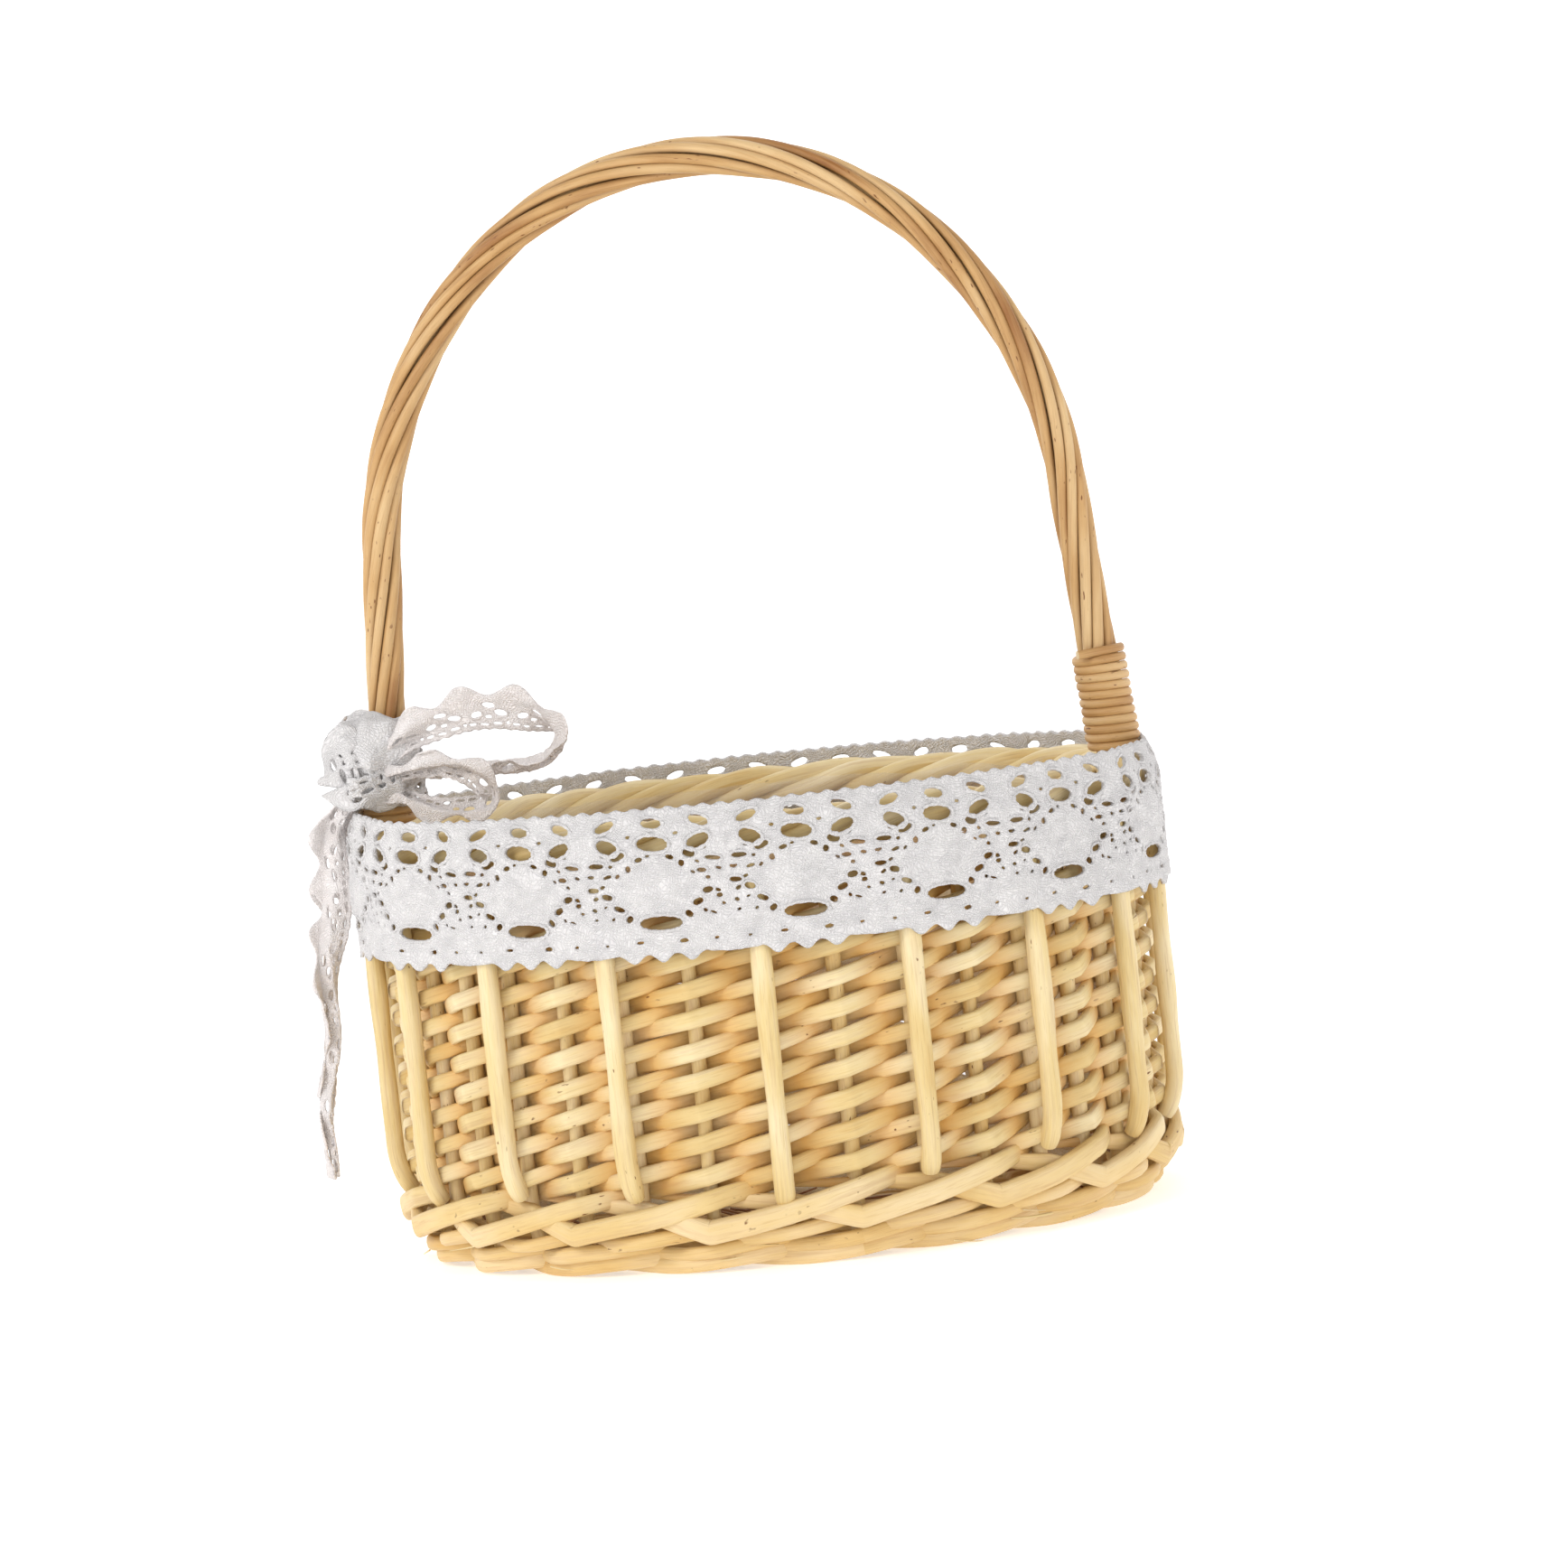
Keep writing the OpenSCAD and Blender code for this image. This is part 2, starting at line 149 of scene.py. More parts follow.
def wall(s, z, lane):
    """Points on the wall with their outward and upward directions; below BEND_Z the wall draws in."""
    s, z, lane = np.broadcast_arrays(np.asarray(s, float), np.asarray(z, float), np.asarray(lane, float))
    a = np.arcsin(np.clip((BEND_Z - z) / BEND_RADIUS, 0, 0.7))
    drawn = BEND_RADIUS * (1 - np.cos(a))
    x, y, nx, ny = plan(s, 0.0)
    out = lane * np.cos(a) - drawn
    points = np.stack([x + nx * out, y + ny * out, z - lane * np.sin(a)], -1)
    outward = np.stack([nx * np.cos(a), ny * np.cos(a), -np.sin(a)], -1)
    return points, outward


# ---------------------------------------------------------------- mesh helpers
def wander(t, scale, seed, amount):
    """A smooth random curve along t."""
    return np.array([noise.noise(Vector((v / scale, seed * 7.31, 0.5))) for v in np.atleast_1d(t)]) * amount


def smooth(points):
    p = np.array(points, float)
    p[1:-1] = 0.25 * p[:-2] + 0.5 * p[1:-1] + 0.25 * p[2:]
    return p


def loop_noise(loop, scale, z):
    """Smooth noise that closes on itself, at the angles of a loop."""
    return np.array([noise.noise(Vector((math.cos(t) * scale, math.sin(t) * scale, z))) for t in loop])


def unit(v):
    return v / np.maximum(np.linalg.norm(v, axis=-1, keepdims=True), 1e-9)


def new_object(name, verts, faces, materials, uvs=None, tone=None, slots=None, deep=None):
    mesh = bpy.data.meshes.new(name)
    mesh.from_pydata([tuple(v) for v in np.asarray(verts) * MM], [], faces)
    mesh.update()
    if uvs is not None:
        layer = mesh.uv_layers.new(name="UVMap")
        layer.data.foreach_set("uv", np.asarray(uvs, dtype=np.float32).ravel())
    # stores the random tone and the painted-shade amount as vertex attributes
    for label, values in (("tone", tone), ("deep", deep)):
        if values is not None:
            attribute = mesh.attributes.new(label, "FLOAT", "POINT")
            attribute.data.foreach_set("value", np.asarray(values, dtype=np.float32))
    for m in materials:
        mesh.materials.append(m)
    if slots is not None:
        mesh.polygons.foreach_set("material_index", slots)
    mesh.polygons.foreach_set("use_smooth", [True] * len(mesh.polygons))
    obj = bpy.data.objects.new(name, mesh)
    bpy.context.scene.collection.objects.link(obj)
    return obj


class Rods:
    """Collects swept rods, so that one piece can hold many."""

    def __init__(self):
        self.verts, self.faces, self.uvs, self.tone, self.deep, self.slots = [], [], [], [], [], []

    def add(self, path, outward, half_out, half_up, tone, sides=12, closed=False, square=2.3, deep=0.0):
        """Sweeps a superellipse along path: square 2 is round, more is flatter on its faces."""
        p = np.asarray(path, float)
        n = len(p)
        if closed:
            tangent = unit(np.roll(p, -1, 0) - np.roll(p, 1, 0))
        else:
            tangent = unit(np.gradient(p, axis=0))
        o = np.asarray(outward, float)
        o = unit(o - (o * tangent).sum(-1, keepdims=True) * tangent)
        u = np.cross(tangent, o)
        half_out = np.broadcast_to(half_out, n)
        half_up = np.broadcast_to(half_up, n)
        a = np.arange(sides) * TAU / sides + math.pi
        c, s = np.cos(a), np.sin(a)
        ca = np.sign(c) * np.abs(c) ** (2 / square)
        sa = np.sign(s) * np.abs(s) ** (2 / square)
        ring = (
            p[:, None]
            + o[:, None] * (half_out[:, None] * ca)[..., None]
            + u[:, None] * (half_up[:, None] * sa)[..., None]
        )
        start = len(self.verts)
        steps = np.linalg.norm(np.diff(p, axis=0), axis=1)
        along = np.concatenate([[0], np.cumsum(steps)]) * MM
        girth = TAU * float((half_out.mean() + half_up.mean()) / 2) * MM
        self.verts.extend(ring.reshape(-1, 3))
        self.tone.extend([tone] * (n * sides))
        shade = np.broadcast_to(deep, n)[:, None] if np.ndim(deep) < 2 else deep
        self.deep.extend(np.broadcast_to(shade, (n, sides)).ravel())
        for i in range(n if closed else n - 1):
            this, ahead = start + i * sides, start + (i + 1) % n * sides
            u1 = along[i + 1] if i + 1 < n else along[-1] + (along[-1] - along[-2])
            for j in range(sides):
                k = (j + 1) % sides
                self.faces.append((this + j, this + k, ahead + k, ahead + j))
                v0, v1 = j / sides * girth, (j + 1) / sides * girth
                self.uvs.extend([(along[i], v0), (along[i], v1), (u1, v1), (u1, v0)])
                self.slots.append(0)
        if not closed:
            for i, sign in ((0, -1), (n - 1, 1)):
                self.cap(ring[i], p[i], tone, tangent[i] * sign, girth / TAU)

    def cap(self, ring, centre, tone, away, radius):
        """A cut end with a slightly domed middle."""
        sides = len(ring)
        start = len(self.verts)
        self.verts.extend(ring)
        self.verts.append(centre + away * CUT_DOME)
        self.tone.extend([tone] * (sides + 1))
        self.deep.extend([0.3] * (sides + 1))
        for j in range(sides):
            self.faces.append((start + (j + 1) % sides, start + j, start + sides))
            for t in (TAU * j / sides, TAU * (j + 1) / sides):
                self.uvs.append((math.cos(t) * radius, math.sin(t) * radius))
            self.uvs.append((0.0, 0.0))
            self.slots.append(1)

    def build(self, name, materials=None, slot="willow", replaces=(), rides=True):
        obj = new_object(name, self.verts, self.faces, materials or [willow, cut_end], self.uvs, self.tone,
                         self.slots, self.deep)
        obj.data.validate()
        if rides:
            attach(obj, "basket")
        if replaces:
            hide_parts(*replaces)
        return obj


# ---------------------------------------------------------------- materials
def linear(r, g, b):
    """sRGB 0-255 to the linear colour that the nodes take."""
    out = []
    for v in (r, g, b):
        c = v / 255
        out.append(c / 12.92 if c <= 0.04045 else ((c + 0.055) / 1.055) ** 2.4)
    return (*out, 1.0)


class Nodes:
    """A material's node tree, with short ways to make what the materials share."""

    def __init__(self, name):
        self.material = bpy.data.materials.new(name)
        self.material.use_nodes = True
        self.tree = self.material.node_tree
        self.shader = self.tree.nodes["Principled BSDF"]

    def node(self, kind, **inputs):
        n = self.tree.nodes.new("ShaderNode" + kind)
        for key, value in inputs.items():
            self.put(n, key, value)
        return n

    def put(self, n, key, value):
        """Links or sets one input of node n."""
        if hasattr(value, "is_output"):
            self.tree.links.new(value, n.inputs[key])
        else:
            n.inputs[key].default_value = value

    def set(self, key, value):
        self.put(self.shader, key, value)

    def stretched_uv(self, along, across, shift=None):
        """UV in metres times two scales, with shift as the third coordinate."""
        split = self.node("SeparateXYZ", Vector=self.node("UVMap").outputs[0])
        joined = self.node("CombineXYZ")
        for i, scale in enumerate((along, across)):
            self.put(joined, i, self.math("MULTIPLY", split.outputs[i], scale))
        if shift is not None:
            self.put(joined, 2, shift)
        return joined.outputs[0]

    def math(self, operation, a, b=0.0, c=0.0, clamp=False):
        n = self.node("Math")
        n.operation = operation
        n.use_clamp = clamp
        for i, v in enumerate((a, b, c)):
            self.put(n, i, v)
        return n.outputs[0]

    def attribute(self, name, scale=1.0):
        n = self.node("Attribute")
        n.attribute_name = name
        return self.math("MULTIPLY", n.outputs["Fac"], scale)

    def noise(self, vector, detail=3.0, roughness=0.55):
        n = self.node("TexNoise", Vector=vector, Scale=1.0, Detail=detail, Roughness=roughness)
        return n.outputs["Fac"]

    def ramp(self, factor, stops):
        n = self.node("ValToRGB", Fac=factor)
        points = n.color_ramp.elements
        while len(points) < len(stops):
            points.new(0.5)
        for e, (at, colour) in zip(points, stops):
            e.position = at
            e.color = colour
        return n.outputs["Color"]

    def mix(self, factor, a, b, blend="MIX"):
        n = self.node("Mix")
        n.data_type = "RGBA"
        n.blend_type = blend
        for i, v in ((0, factor), (6, a), (7, b)):
            self.put(n, i, v)
        return n.outputs[2]

    def bump(self, height, strength, distance):
        return self.node("Bump", Strength=strength, Distance=distance, Height=height).outputs["Normal"]


def grey(v):
    return (v, v, v, 1.0)


WEAVE_SHADE_COLOUR = linear(214, 148, 48)  # painted shade: the darker, warmer colour that willow is mixed towards where the weave lies in shade


def willow_material(name, light, warm, deep, speck_at=0.62, shade_colour=WEAVE_SHADE_COLOUR):
    """Peeled willow: long fine grain, honey patches, a few brown specks, satin."""
    m = Nodes(name)
    tone = m.attribute("tone", 11.0)
    patches = m.noise(m.stretched_uv(34.0, 110.0, tone), 3.0, 0.5)
    grain = m.noise(m.stretched_uv(45.0, 1300.0, tone), 4.0, 0.62)
    fine = m.noise(m.stretched_uv(160.0, 4200.0, tone), 2.0, 0.5)
    shade = m.math("ADD", m.math("MULTIPLY", patches, 0.72), m.math("MULTIPLY", grain, 0.34))
    shade = m.math("ADD", shade, m.attribute("tone", 0.16), clamp=True)
    colour = m.ramp(shade, [(0.42, light), (0.64, warm), (0.86, deep)])
    streaks = m.ramp(grain, [(0.3, linear(190, 146, 96)), (0.5, grey(1.0))])
    colour = m.mix(0.34, colour, streaks, "MULTIPLY")
    hairs = m.ramp(fine, [(0.3, linear(190, 156, 112)), (0.45, grey(1.0))])
    colour = m.mix(0.22, colour, hairs, "MULTIPLY")
    # painted shade: mixes the colour towards the shade colour as far as the rod's painted-shade attribute
    # asks
    colour = m.mix(m.attribute("deep", 0.78), colour, shade_colour)
    specks = m.noise(m.stretched_uv(520.0, 1500.0, tone), 1.0, 0.4)
    rare = m.noise(m.stretched_uv(60.0, 90.0, tone), 1.0, 0.4)
    spots = m.math("MULTIPLY", m.ramp(specks, [(0.7, grey(0.0)), (0.77, grey(1.0))]),
                   m.ramp(rare, [(speck_at - 0.06, grey(0.0)), (speck_at, grey(1.0))]))
    m.set("Base Color", m.mix(spots, colour, linear(120, 74, 38)))
    m.set("Roughness", m.ramp(grain, [(0.2, grey(0.56)), (0.8, grey(0.4))]))
    m.set("Specular IOR Level", 0.4)
    height = m.math("ADD", m.math("MULTIPLY", grain, 0.65), m.math("MULTIPLY", fine, 0.35))
    m.set("Normal", m.bump(height, 0.4, 0.00035))
    return m.material


def cut_end_material(name, centre, rim):
    """The sawn end of a rod: pale pith, darker towards the bark."""
    m = Nodes(name)
    length = m.node("VectorMath")
    length.operation = "LENGTH"
    m.put(length, 0, m.stretched_uv(1.0, 1.0))
    radial = m.math("MULTIPLY", length.outputs["Value"], 620.0)
    fibre = m.noise(m.stretched_uv(3800.0, 3800.0), 2.0, 0.6)
    mixed = m.math("ADD", radial, m.math("MULTIPLY", m.math("SUBTRACT", fibre, 0.5), 0.5), clamp=True)
    m.set("Base Color", m.ramp(mixed, [(0.0, centre), (0.55, centre), (1.0, rim)]))
    m.set("Roughness", 0.75)
    m.set("Normal", m.bump(fibre, 0.6, 0.0003))
    return m.material


def lace_material(name, light, dark, scale=1.0, stitch_shade_strength=0.5):
    """Cotton yarn: plain-weave stitches that wander, matt and a little fuzzy."""
    m = Nodes(name)
    uv = m.node("UVMap").outputs[0]
    drift = m.node("TexNoise", Vector=uv, Scale=150.0, Detail=2.0)
    moved = m.node("VectorMath")
    moved.operation = "MULTIPLY_ADD"
    for i, v in enumerate((drift.outputs["Color"], (0.0062, 0.0062, 0.0), uv)):
        m.put(moved, i, v)
    split = m.node("SeparateXYZ", Vector=moved.outputs[0])
    along = m.math("ADD", split.outputs[0], m.math("MULTIPLY", split.outputs[1], 0.45))
    across = m.math("SUBTRACT", split.outputs[1], m.math("MULTIPLY", split.outputs[0], 0.3))
    warp = m.math("SINE", m.math("MULTIPLY", along, 3900.0 * scale))
    weft = m.math("SINE", m.math("MULTIPLY", across, 4700.0 * scale))
    over = m.math("MULTIPLY_ADD", m.math("MULTIPLY", warp, weft), 2.2, 0.5, clamp=True)
    one = m.math("MULTIPLY", m.math("MULTIPLY", warp, warp), over)
    two = m.math("MULTIPLY", m.math("MULTIPLY", weft, weft), m.math("SUBTRACT", 1.0, over))
    stitches = m.math("ADD", one, two)
    ply = m.noise(m.stretched_uv(5200.0 * scale, 5200.0 * scale), 3.0, 0.6)
    height = m.math("ADD", m.math("MULTIPLY", stitches, 0.8), m.math("MULTIPLY", ply, 0.5))
    soft = m.noise(m.stretched_uv(190.0, 190.0), 2.0, 0.5)
    # painted shade: the valleys between the stitches are darkened in the colour, where the yarn shades itself
    stitch_shade = m.ramp(stitches, [(0.0, grey(0.66)), (0.45, grey(1.0))])
    colour = m.mix(m.ramp(soft, [(0.35, grey(0.0)), (0.7, grey(1.0))]), light, dark)
    m.set("Base Color", m.mix(stitch_shade_strength, colour, stitch_shade, "MULTIPLY"))
    m.set("Roughness", 0.9)
    m.set("Specular IOR Level", 0.0)
    m.set("Sheen Weight", 0.06)
    m.set("Sheen Roughness", 0.5)
    m.set("Normal", m.bump(height, 0.65, 0.0006))
    return m.material


def film_material(name):
    """Thin clear film with a faint warm cast and fine crinkles."""
    m = Nodes(name)
    place = m.node("TexCoord").outputs["Object"]
    crinkle = m.node("TexNoise", Vector=place, Scale=130.0, Detail=5.0, Distortion=1.4)
    m.set("Base Color", (0.93, 0.9, 0.86, 1.0))
    m.set("Alpha", 0.17)
    m.set("Roughness", 0.16)
    m.set("Specular IOR Level", 0.6)
    m.set("Normal", m.bump(crinkle.outputs["Fac"], 0.55, 0.0016))
    return m.material


willow = willow_material("peeled_willow", linear(234, 217, 176), linear(221, 196, 138), linear(202, 162, 92))
willow_warm = willow_material("peeled_willow_warm", linear(230, 206, 160), linear(216, 180, 122),
                              linear(190, 138, 76))
willow_brown = willow_material("willow_waste", linear(188, 144, 98), linear(160, 112, 70),
                               linear(120, 76, 42))
# the cane's last colour is painted shade, for the gaps between the handle strands
cane = willow_material("golden_cane", linear(216, 185, 137), linear(196, 155, 101), linear(148, 98, 50),
                       speck_at=0.53, shade_colour=linear(84, 46, 14))
cut_end = cut_end_material("willow_cut_end", linear(232, 208, 166), linear(176, 124, 70))
cotton = lace_material("cotton_lace", linear(232, 229, 228), linear(221, 218, 218))
# painted light: the bow's loops and tails get a lighter copy of the cotton, with finer and fainter stitches;
# the ribbon wound round the handle keeps the plain cotton
cotton_ribbon_lightened = lace_material("cotton_lace_ribbon_lightened", linear(247, 241, 239), linear(239, 231, 228), 1.15, 0.3)
film = film_material("clear_film")

# ---------------------------------------------------------------- stakes
rng = random.Random(11)
STAKE_STEP = 2.0


def add_stake(rods, s, low_z, high_z, radius, seed):
    z = np.linspace(low_z, high_z, int((high_z - low_z) / STAKE_STEP) + 2)
    points, outward = wall(s, z, 0.0)
    tone = rng.random()
    sideways = np.cross(outward, np.array([0.0, 0.0, 1.0]))
    points = points + sideways * wander(z, 40, seed, 0.5)[:, None]
    r = radius * (1 + wander(z, 14, seed + 0.5, 0.09)) * rng.uniform(0.97, 1.03)
    # painted shade: the inner stakes are mixed a little towards the shade colour all along, as they stand
    # behind the weavers
    rods.add(points, outward, r, r * rng.uniform(0.96, 1.04), tone, square=2.05, deep=0.12)


inner = Rods()
for j in range(BAYS):
    add_stake(inner, post(j), 7.0, WALL_TOP_Z, INNER_R, 1.3 * j)
    if j % 9 != 4:  # the handle's core stands there
        add_stake(inner, middle(j), 1.2, BORDER_Z + 2, INNER_R, 40 + 1.3 * j)
inner.build("stakes_inner", replaces=["inner_stakes"])

# outer stakes: straight, then turned in at the foot, each at its own height
TURN_RADIUS = 15.0
outer = Rods()
for j in range(BAYS):
    seed = 90 + 2.1 * j
    turn_z = 27.0 + 4.2 * abs(math.sin(0.9 * (j if j < 9 else j - BAYS)))
    angle = np.linspace(math.radians(50), 0, 10)
    straight = np.linspace(turn_z + STAKE_STEP, WALL_TOP_Z, 34)
    z = np.concatenate([turn_z - TURN_RADIUS * np.sin(angle), straight])
    inward = np.concatenate([TURN_RADIUS * (1 - np.cos(angle)) * 0.62, 0 * straight])
    x, y, nx, ny = plan(np.full(len(z), post(j)), OUTER_LANE - inward)
    sway = wander(z, 45, seed, 0.9)
    points = np.stack([x - ny * sway, y + nx * sway, z], -1)
    outward = np.stack([nx, ny, np.zeros(len(z))], -1)
    r = OUTER_R * (1 + wander(z, 13, seed + 0.4, 0.14))
    r[:3] *= np.array([0.86, 0.95, 1.0])
    outer.add(points, outward, r * 1.02, r * 1.1, rng.random() * 0.6, sides=14, square=2.35)
outer.build("stakes_outer", replaces=["outer_stakes"])


# ---------------------------------------------------------------- weavers
HALF_BAY_STEPS = (0.0, 0.09, 0.18, 0.27, 0.38, 0.52, 0.68, 0.84, 0.95, 0.985)


def profile(t, low_lane, high_lane):
    """How a weaver swings from behind a stake (t = 0) to the front of the next (t = 1): it turns
    tightly round the back and comes to the front at a slight kink."""
    u = np.clip((t - 0.07) / 0.93, 0, 1)
    g = 0.2 * (1 - (1 - u) ** 2.4) + 0.8 * u
    return low_lane + (high_lane - low_lane) * g


def weaver_path(first, stations, seed):
    """stations: one (z, lane, half_thickness, half_height) per half bay from half bay first."""
    rows = []
    for i in range(len(stations) - 1):
        s0, s1 = at_half_bay(first + i), at_half_bay(first + i + 1)
        a, b = np.array(stations[i]), np.array(stations[i + 1])
        outwards = b[1] >= a[1]
        steps = HALF_BAY_STEPS if outwards else (0.0,) + tuple(1 - v for v in HALF_BAY_STEPS[:0:-1])
        for t in steps:
            row = a + (b - a) * t
            row[1] = profile(t, a[1], b[1]) if outwards else profile(1 - t, b[1], a[1])
            rows.append((s0 + (s1 - s0) * t, *row))
    rows.append((at_half_bay(first + len(stations) - 1), *stations[-1]))
    s_all, z_all, lane_all, t_all, h_all = np.array(rows).T
    run = s_all - s_all[0]
    z = z_all + wander(run, 30, seed, 0.9)
    lane = lane_all + wander(run, 18, seed + 3.3, 0.5)
    points, outward = wall(s_all, z, lane)
    grow = 1 + wander(run, 22, seed + 5.7, 0.12)
    # painted shade: darkest in the middle of the wall, where the weaver passes behind its neighbours, and a
    # little low down near the foot
    low = np.clip((24.0 - z) / 14.0, 0, 1) * 0.24
    deep = np.maximum(0.75 * (1 - np.abs(lane + 0.6) / 3.2), low)
    return smooth(points), outward, t_all * grow, h_all * grow, deep


LANE = 3.3
STROKE_LANE = 5.9
HALF_ROW = ROW_PITCH / 2
for i in range(1, BAYS + 1):
    # a thin tip low down, the long thick stroke over three stakes, then the climb
    z0 = FIRST_STROKE_Z
    stations = [(z0 + 9.5, -2.6, 0.6, 0.8), (z0 + 8.8, 0.6, 0.9, 1.2), (z0 + 6.6, 1.8, 1.4, 2.2),
                (z0 + 2.6, STROKE_LANE + 0.4, 1.7, 2.6), (z0 + 5.3, STROKE_LANE + 0.2, 1.7, 2.5),
                (z0 + 8.3, STROKE_LANE - 0.8, 1.6, 2.4)]
    for k in range(4, 25):
        fade = (k - 4) / 20
        stations.append((z0 + (k - 1) * HALF_ROW, -LANE if k % 2 == 0 else LANE + 0.35,
                         1.25 - 0.1 * fade, 2.15 - 0.25 * fade))
    rods = Rods()
    seed = 200 + 3.7 * i
    path, outward, thick, high, deep = weaver_path(2 * (i - 1) - 2, stations, seed)
    rods.add(path, outward, thick, high, rng.random() * 0.7, sides=16, square=3.6, deep=deep)
    rods.build(f"weaver_front_{i}", replaces=[f"front_weaver_{i}"])

for i in range(1, BAYS + 1):
    low = FIRST_STROKE_Z + 3 * HALF_ROW
    stations = [(low + k * HALF_ROW, -LANE if k % 2 == 0 else LANE, 1.25, 1.9) for k in range(21)]
    rods = Rods()
    path, outward, thick, high, deep = weaver_path(2 * i - 1, stations, 400 + 3.1 * i)
    rods.add(path, outward, thick, high, rng.random() * 0.9, sides=14, square=3.3, deep=deep)
    rods.build(f"weaver_back_{i}", replaces=[f"back_weaver_{i}"])


# ---------------------------------------------------------------- foot and border pairs
def pair_rod(z, lane, rise, radius, phase, seed):
    """A rod that goes round the stakes at height z, in front of one and behind the next."""
    steps = 12
    i = np.arange(BAYS * steps)
    b = i // steps
    f = (i % steps) / steps
    s = np.array([middle(int(k)) + g * (middle(int(k) + 1) - middle(int(k))) for k, g in zip(b, f)])
    loop = i / len(i) * TAU
    wobble = loop_noise(loop, 5, seed)
    turn = math.pi * i / steps + phase + 0.5 * wobble
    ease = np.sign(np.cos(turn)) * np.abs(np.cos(turn)) ** 0.9
    drawn = 0.0
    if z < BEND_Z:
        drawn = BEND_RADIUS * (1 - math.cos(math.asin((BEND_Z - z) / BEND_RADIUS)))
    x, y, nx, ny = plan(s, lane * ease - drawn)
    path = np.stack([x, y, z + rise * np.sin(turn) + 0.3 * wobble], -1)
    outward = np.stack([nx, ny, np.zeros(len(i))], -1)
    return path, outward, radius * (1 + 0.22 * wobble)


def splinters(rods, count, low_z, high_z, low_lane, high_lane, radius, length, spread):
    """Short loose ends of split willow that stick out of the weave."""
    for _ in range(count):
        s = rng.uniform(0, FULL)
        z = rng.uniform(low_z, high_z)
        start, away = wall(s, z, rng.uniform(low_lane, high_lane))
        along = np.cross([0.0, 0.0, 1.0], away)
        heading = unit(along * rng.choice((-1, 1)) + away * rng.uniform(-spread, spread)
                       + np.array([0, 0, rng.uniform(-spread, spread)]))
        reach = length * rng.uniform(0.5, 1.3)
        bend = rng.uniform(-0.25, 0.25) * reach
        f = np.linspace(0, 1, 7)[:, None]
        path = start + heading * reach * f + away * bend * f * (1 - f)
        thin = radius * rng.uniform(0.6, 1.3) * np.linspace(1.0, 0.45, 7)
        rods.add(path, np.tile(away, (7, 1)), thin, thin * 0.7, rng.random(), sides=6)


for n in (1, 2):
    rods = Rods()
    for ply, size in ((0.0, 2.7), (math.pi / 2, 2.4)):
        path, outward, r = pair_rod(BORDER_Z + 0.9, 3.8, 2.8, size, math.pi * n + ply, 3.0 * n + ply)
        rods.add(path, outward, r, r * 0.95, rng.random() * 0.6, sides=14, closed=True, square=2.3)
    rods.build(f"border_willow_{n}", replaces=[f"border_rod_{n}"])
    rods = Rods()
    # painted shade: the foot rod and the two thinner rows above it are mixed a little towards the shade
    # colour
    path, outward, r = pair_rod(3.0, 3.6, 0.9, 2.1, math.pi * n, 7.0 * n)
    rods.add(path, outward, r * 0.9, r * 1.05, 0.5 * rng.random(), sides=14, closed=True,
             square=2.6, deep=0.24)
    # two rows of thinner rods between the foot rod and the long strokes
    for z, lane, size in ((5.9, 4.6, 1.6), (8.7, 5.4, 1.45)):
        path, outward, r = pair_rod(z, lane, 1.1, size, math.pi * (n + z / 6), z * n)
        rods.add(path, outward, r * 0.9, r * 1.15, 0.3 + 0.5 * rng.random(), sides=10, closed=True,
                 square=2.6, deep=0.26)
    splinters(rods, 9, 2.5, 9.0, 4.0, 5.6, 0.34, 9.0, 0.25)
    rods.build(f"foot_willow_{n}", replaces=[f"foot_rod_{n}"])

# ---------------------------------------------------------------- base
STICK_Z = 5.2
STICK_GAP = 21.0
LONG_STICK_GAP = 5.2
BASE_ROW_GAP = 2.9
BASE_EDGE = -11.5
cross = Rods()
for k in range(-2, 3):
    x0 = STICK_GAP * k
    reach = math.sqrt((SIDE_RADIUS + BASE_EDGE) ** 2 - x0 * x0) - SIDE_Y
    y = np.linspace(-reach, reach, 30)
    path = np.stack([x0 + wander(y, 30, k + 9, 0.6), y, np.full(30, STICK_Z)], -1)
    cross.add(path, np.tile([1.0, 0, 0], (30, 1)), 2.2, 2.2, rng.random(), square=2.1)
splinters(cross, 110, 8.0, 12.3, -9.5, -3.2, 0.5, 12.0, 0.5)
cross.build("base_sticks_across", [willow_brown, cut_end], slot="willow", replaces=["base_cross_sticks"])

long_sticks = Rods()
for k in range(-3, 4):
    y0 = LONG_STICK_GAP * k
    reach = END_X + math.sqrt((END_RADIUS + BASE_EDGE) ** 2 - y0 * y0)
    x = np.linspace(-reach, reach, 60)
    # they pass over and under the cross sticks where those are not split
    rise = 2.4 * np.cos(math.pi * x / STICK_GAP) * (-1) ** k * np.clip((3 * STICK_GAP - np.abs(x)) / 12, 0, 1)
    path = np.stack([x, y0 + wander(x, 40, k + 3, 0.5), STICK_Z + rise], -1)
    long_sticks.add(path, np.tile([0, 1.0, 0], (60, 1)), 1.9, 1.4, rng.random(), square=2.3)
long_sticks.build("base_sticks_long", replaces=["base_long_sticks"])

weave = Rods()
for row in range(12):
    inset = BASE_EDGE - BASE_ROW_GAP / 2 + 0.05 - BASE_ROW_GAP * row
    count = 200
    s = np.arange(count) / count * FULL
    x, y, nx, ny = plan(s, inset)
    # over and under the cross sticks along the sides, and evenly round the ends
    round_end = (np.abs(x) - 2 * STICK_GAP) / 9 + np.abs(y) / 14
    along = np.where(np.abs(x) < 2.5 * STICK_GAP - 0.5, x / STICK_GAP, round_end)
    wave = np.cos(math.pi * along) * (-1) ** row
    path = np.stack([x, y, STICK_Z + 1.7 * wave], -1)
    outward = np.stack([nx, ny, np.zeros(count)], -1)
    weave.add(path, outward, 1.4, 1.3, rng.random(), sides=8, closed=True, square=2.2)
weave.build("base_weaving", [willow_warm, cut_end], slot="willow", replaces=["base_weave"])

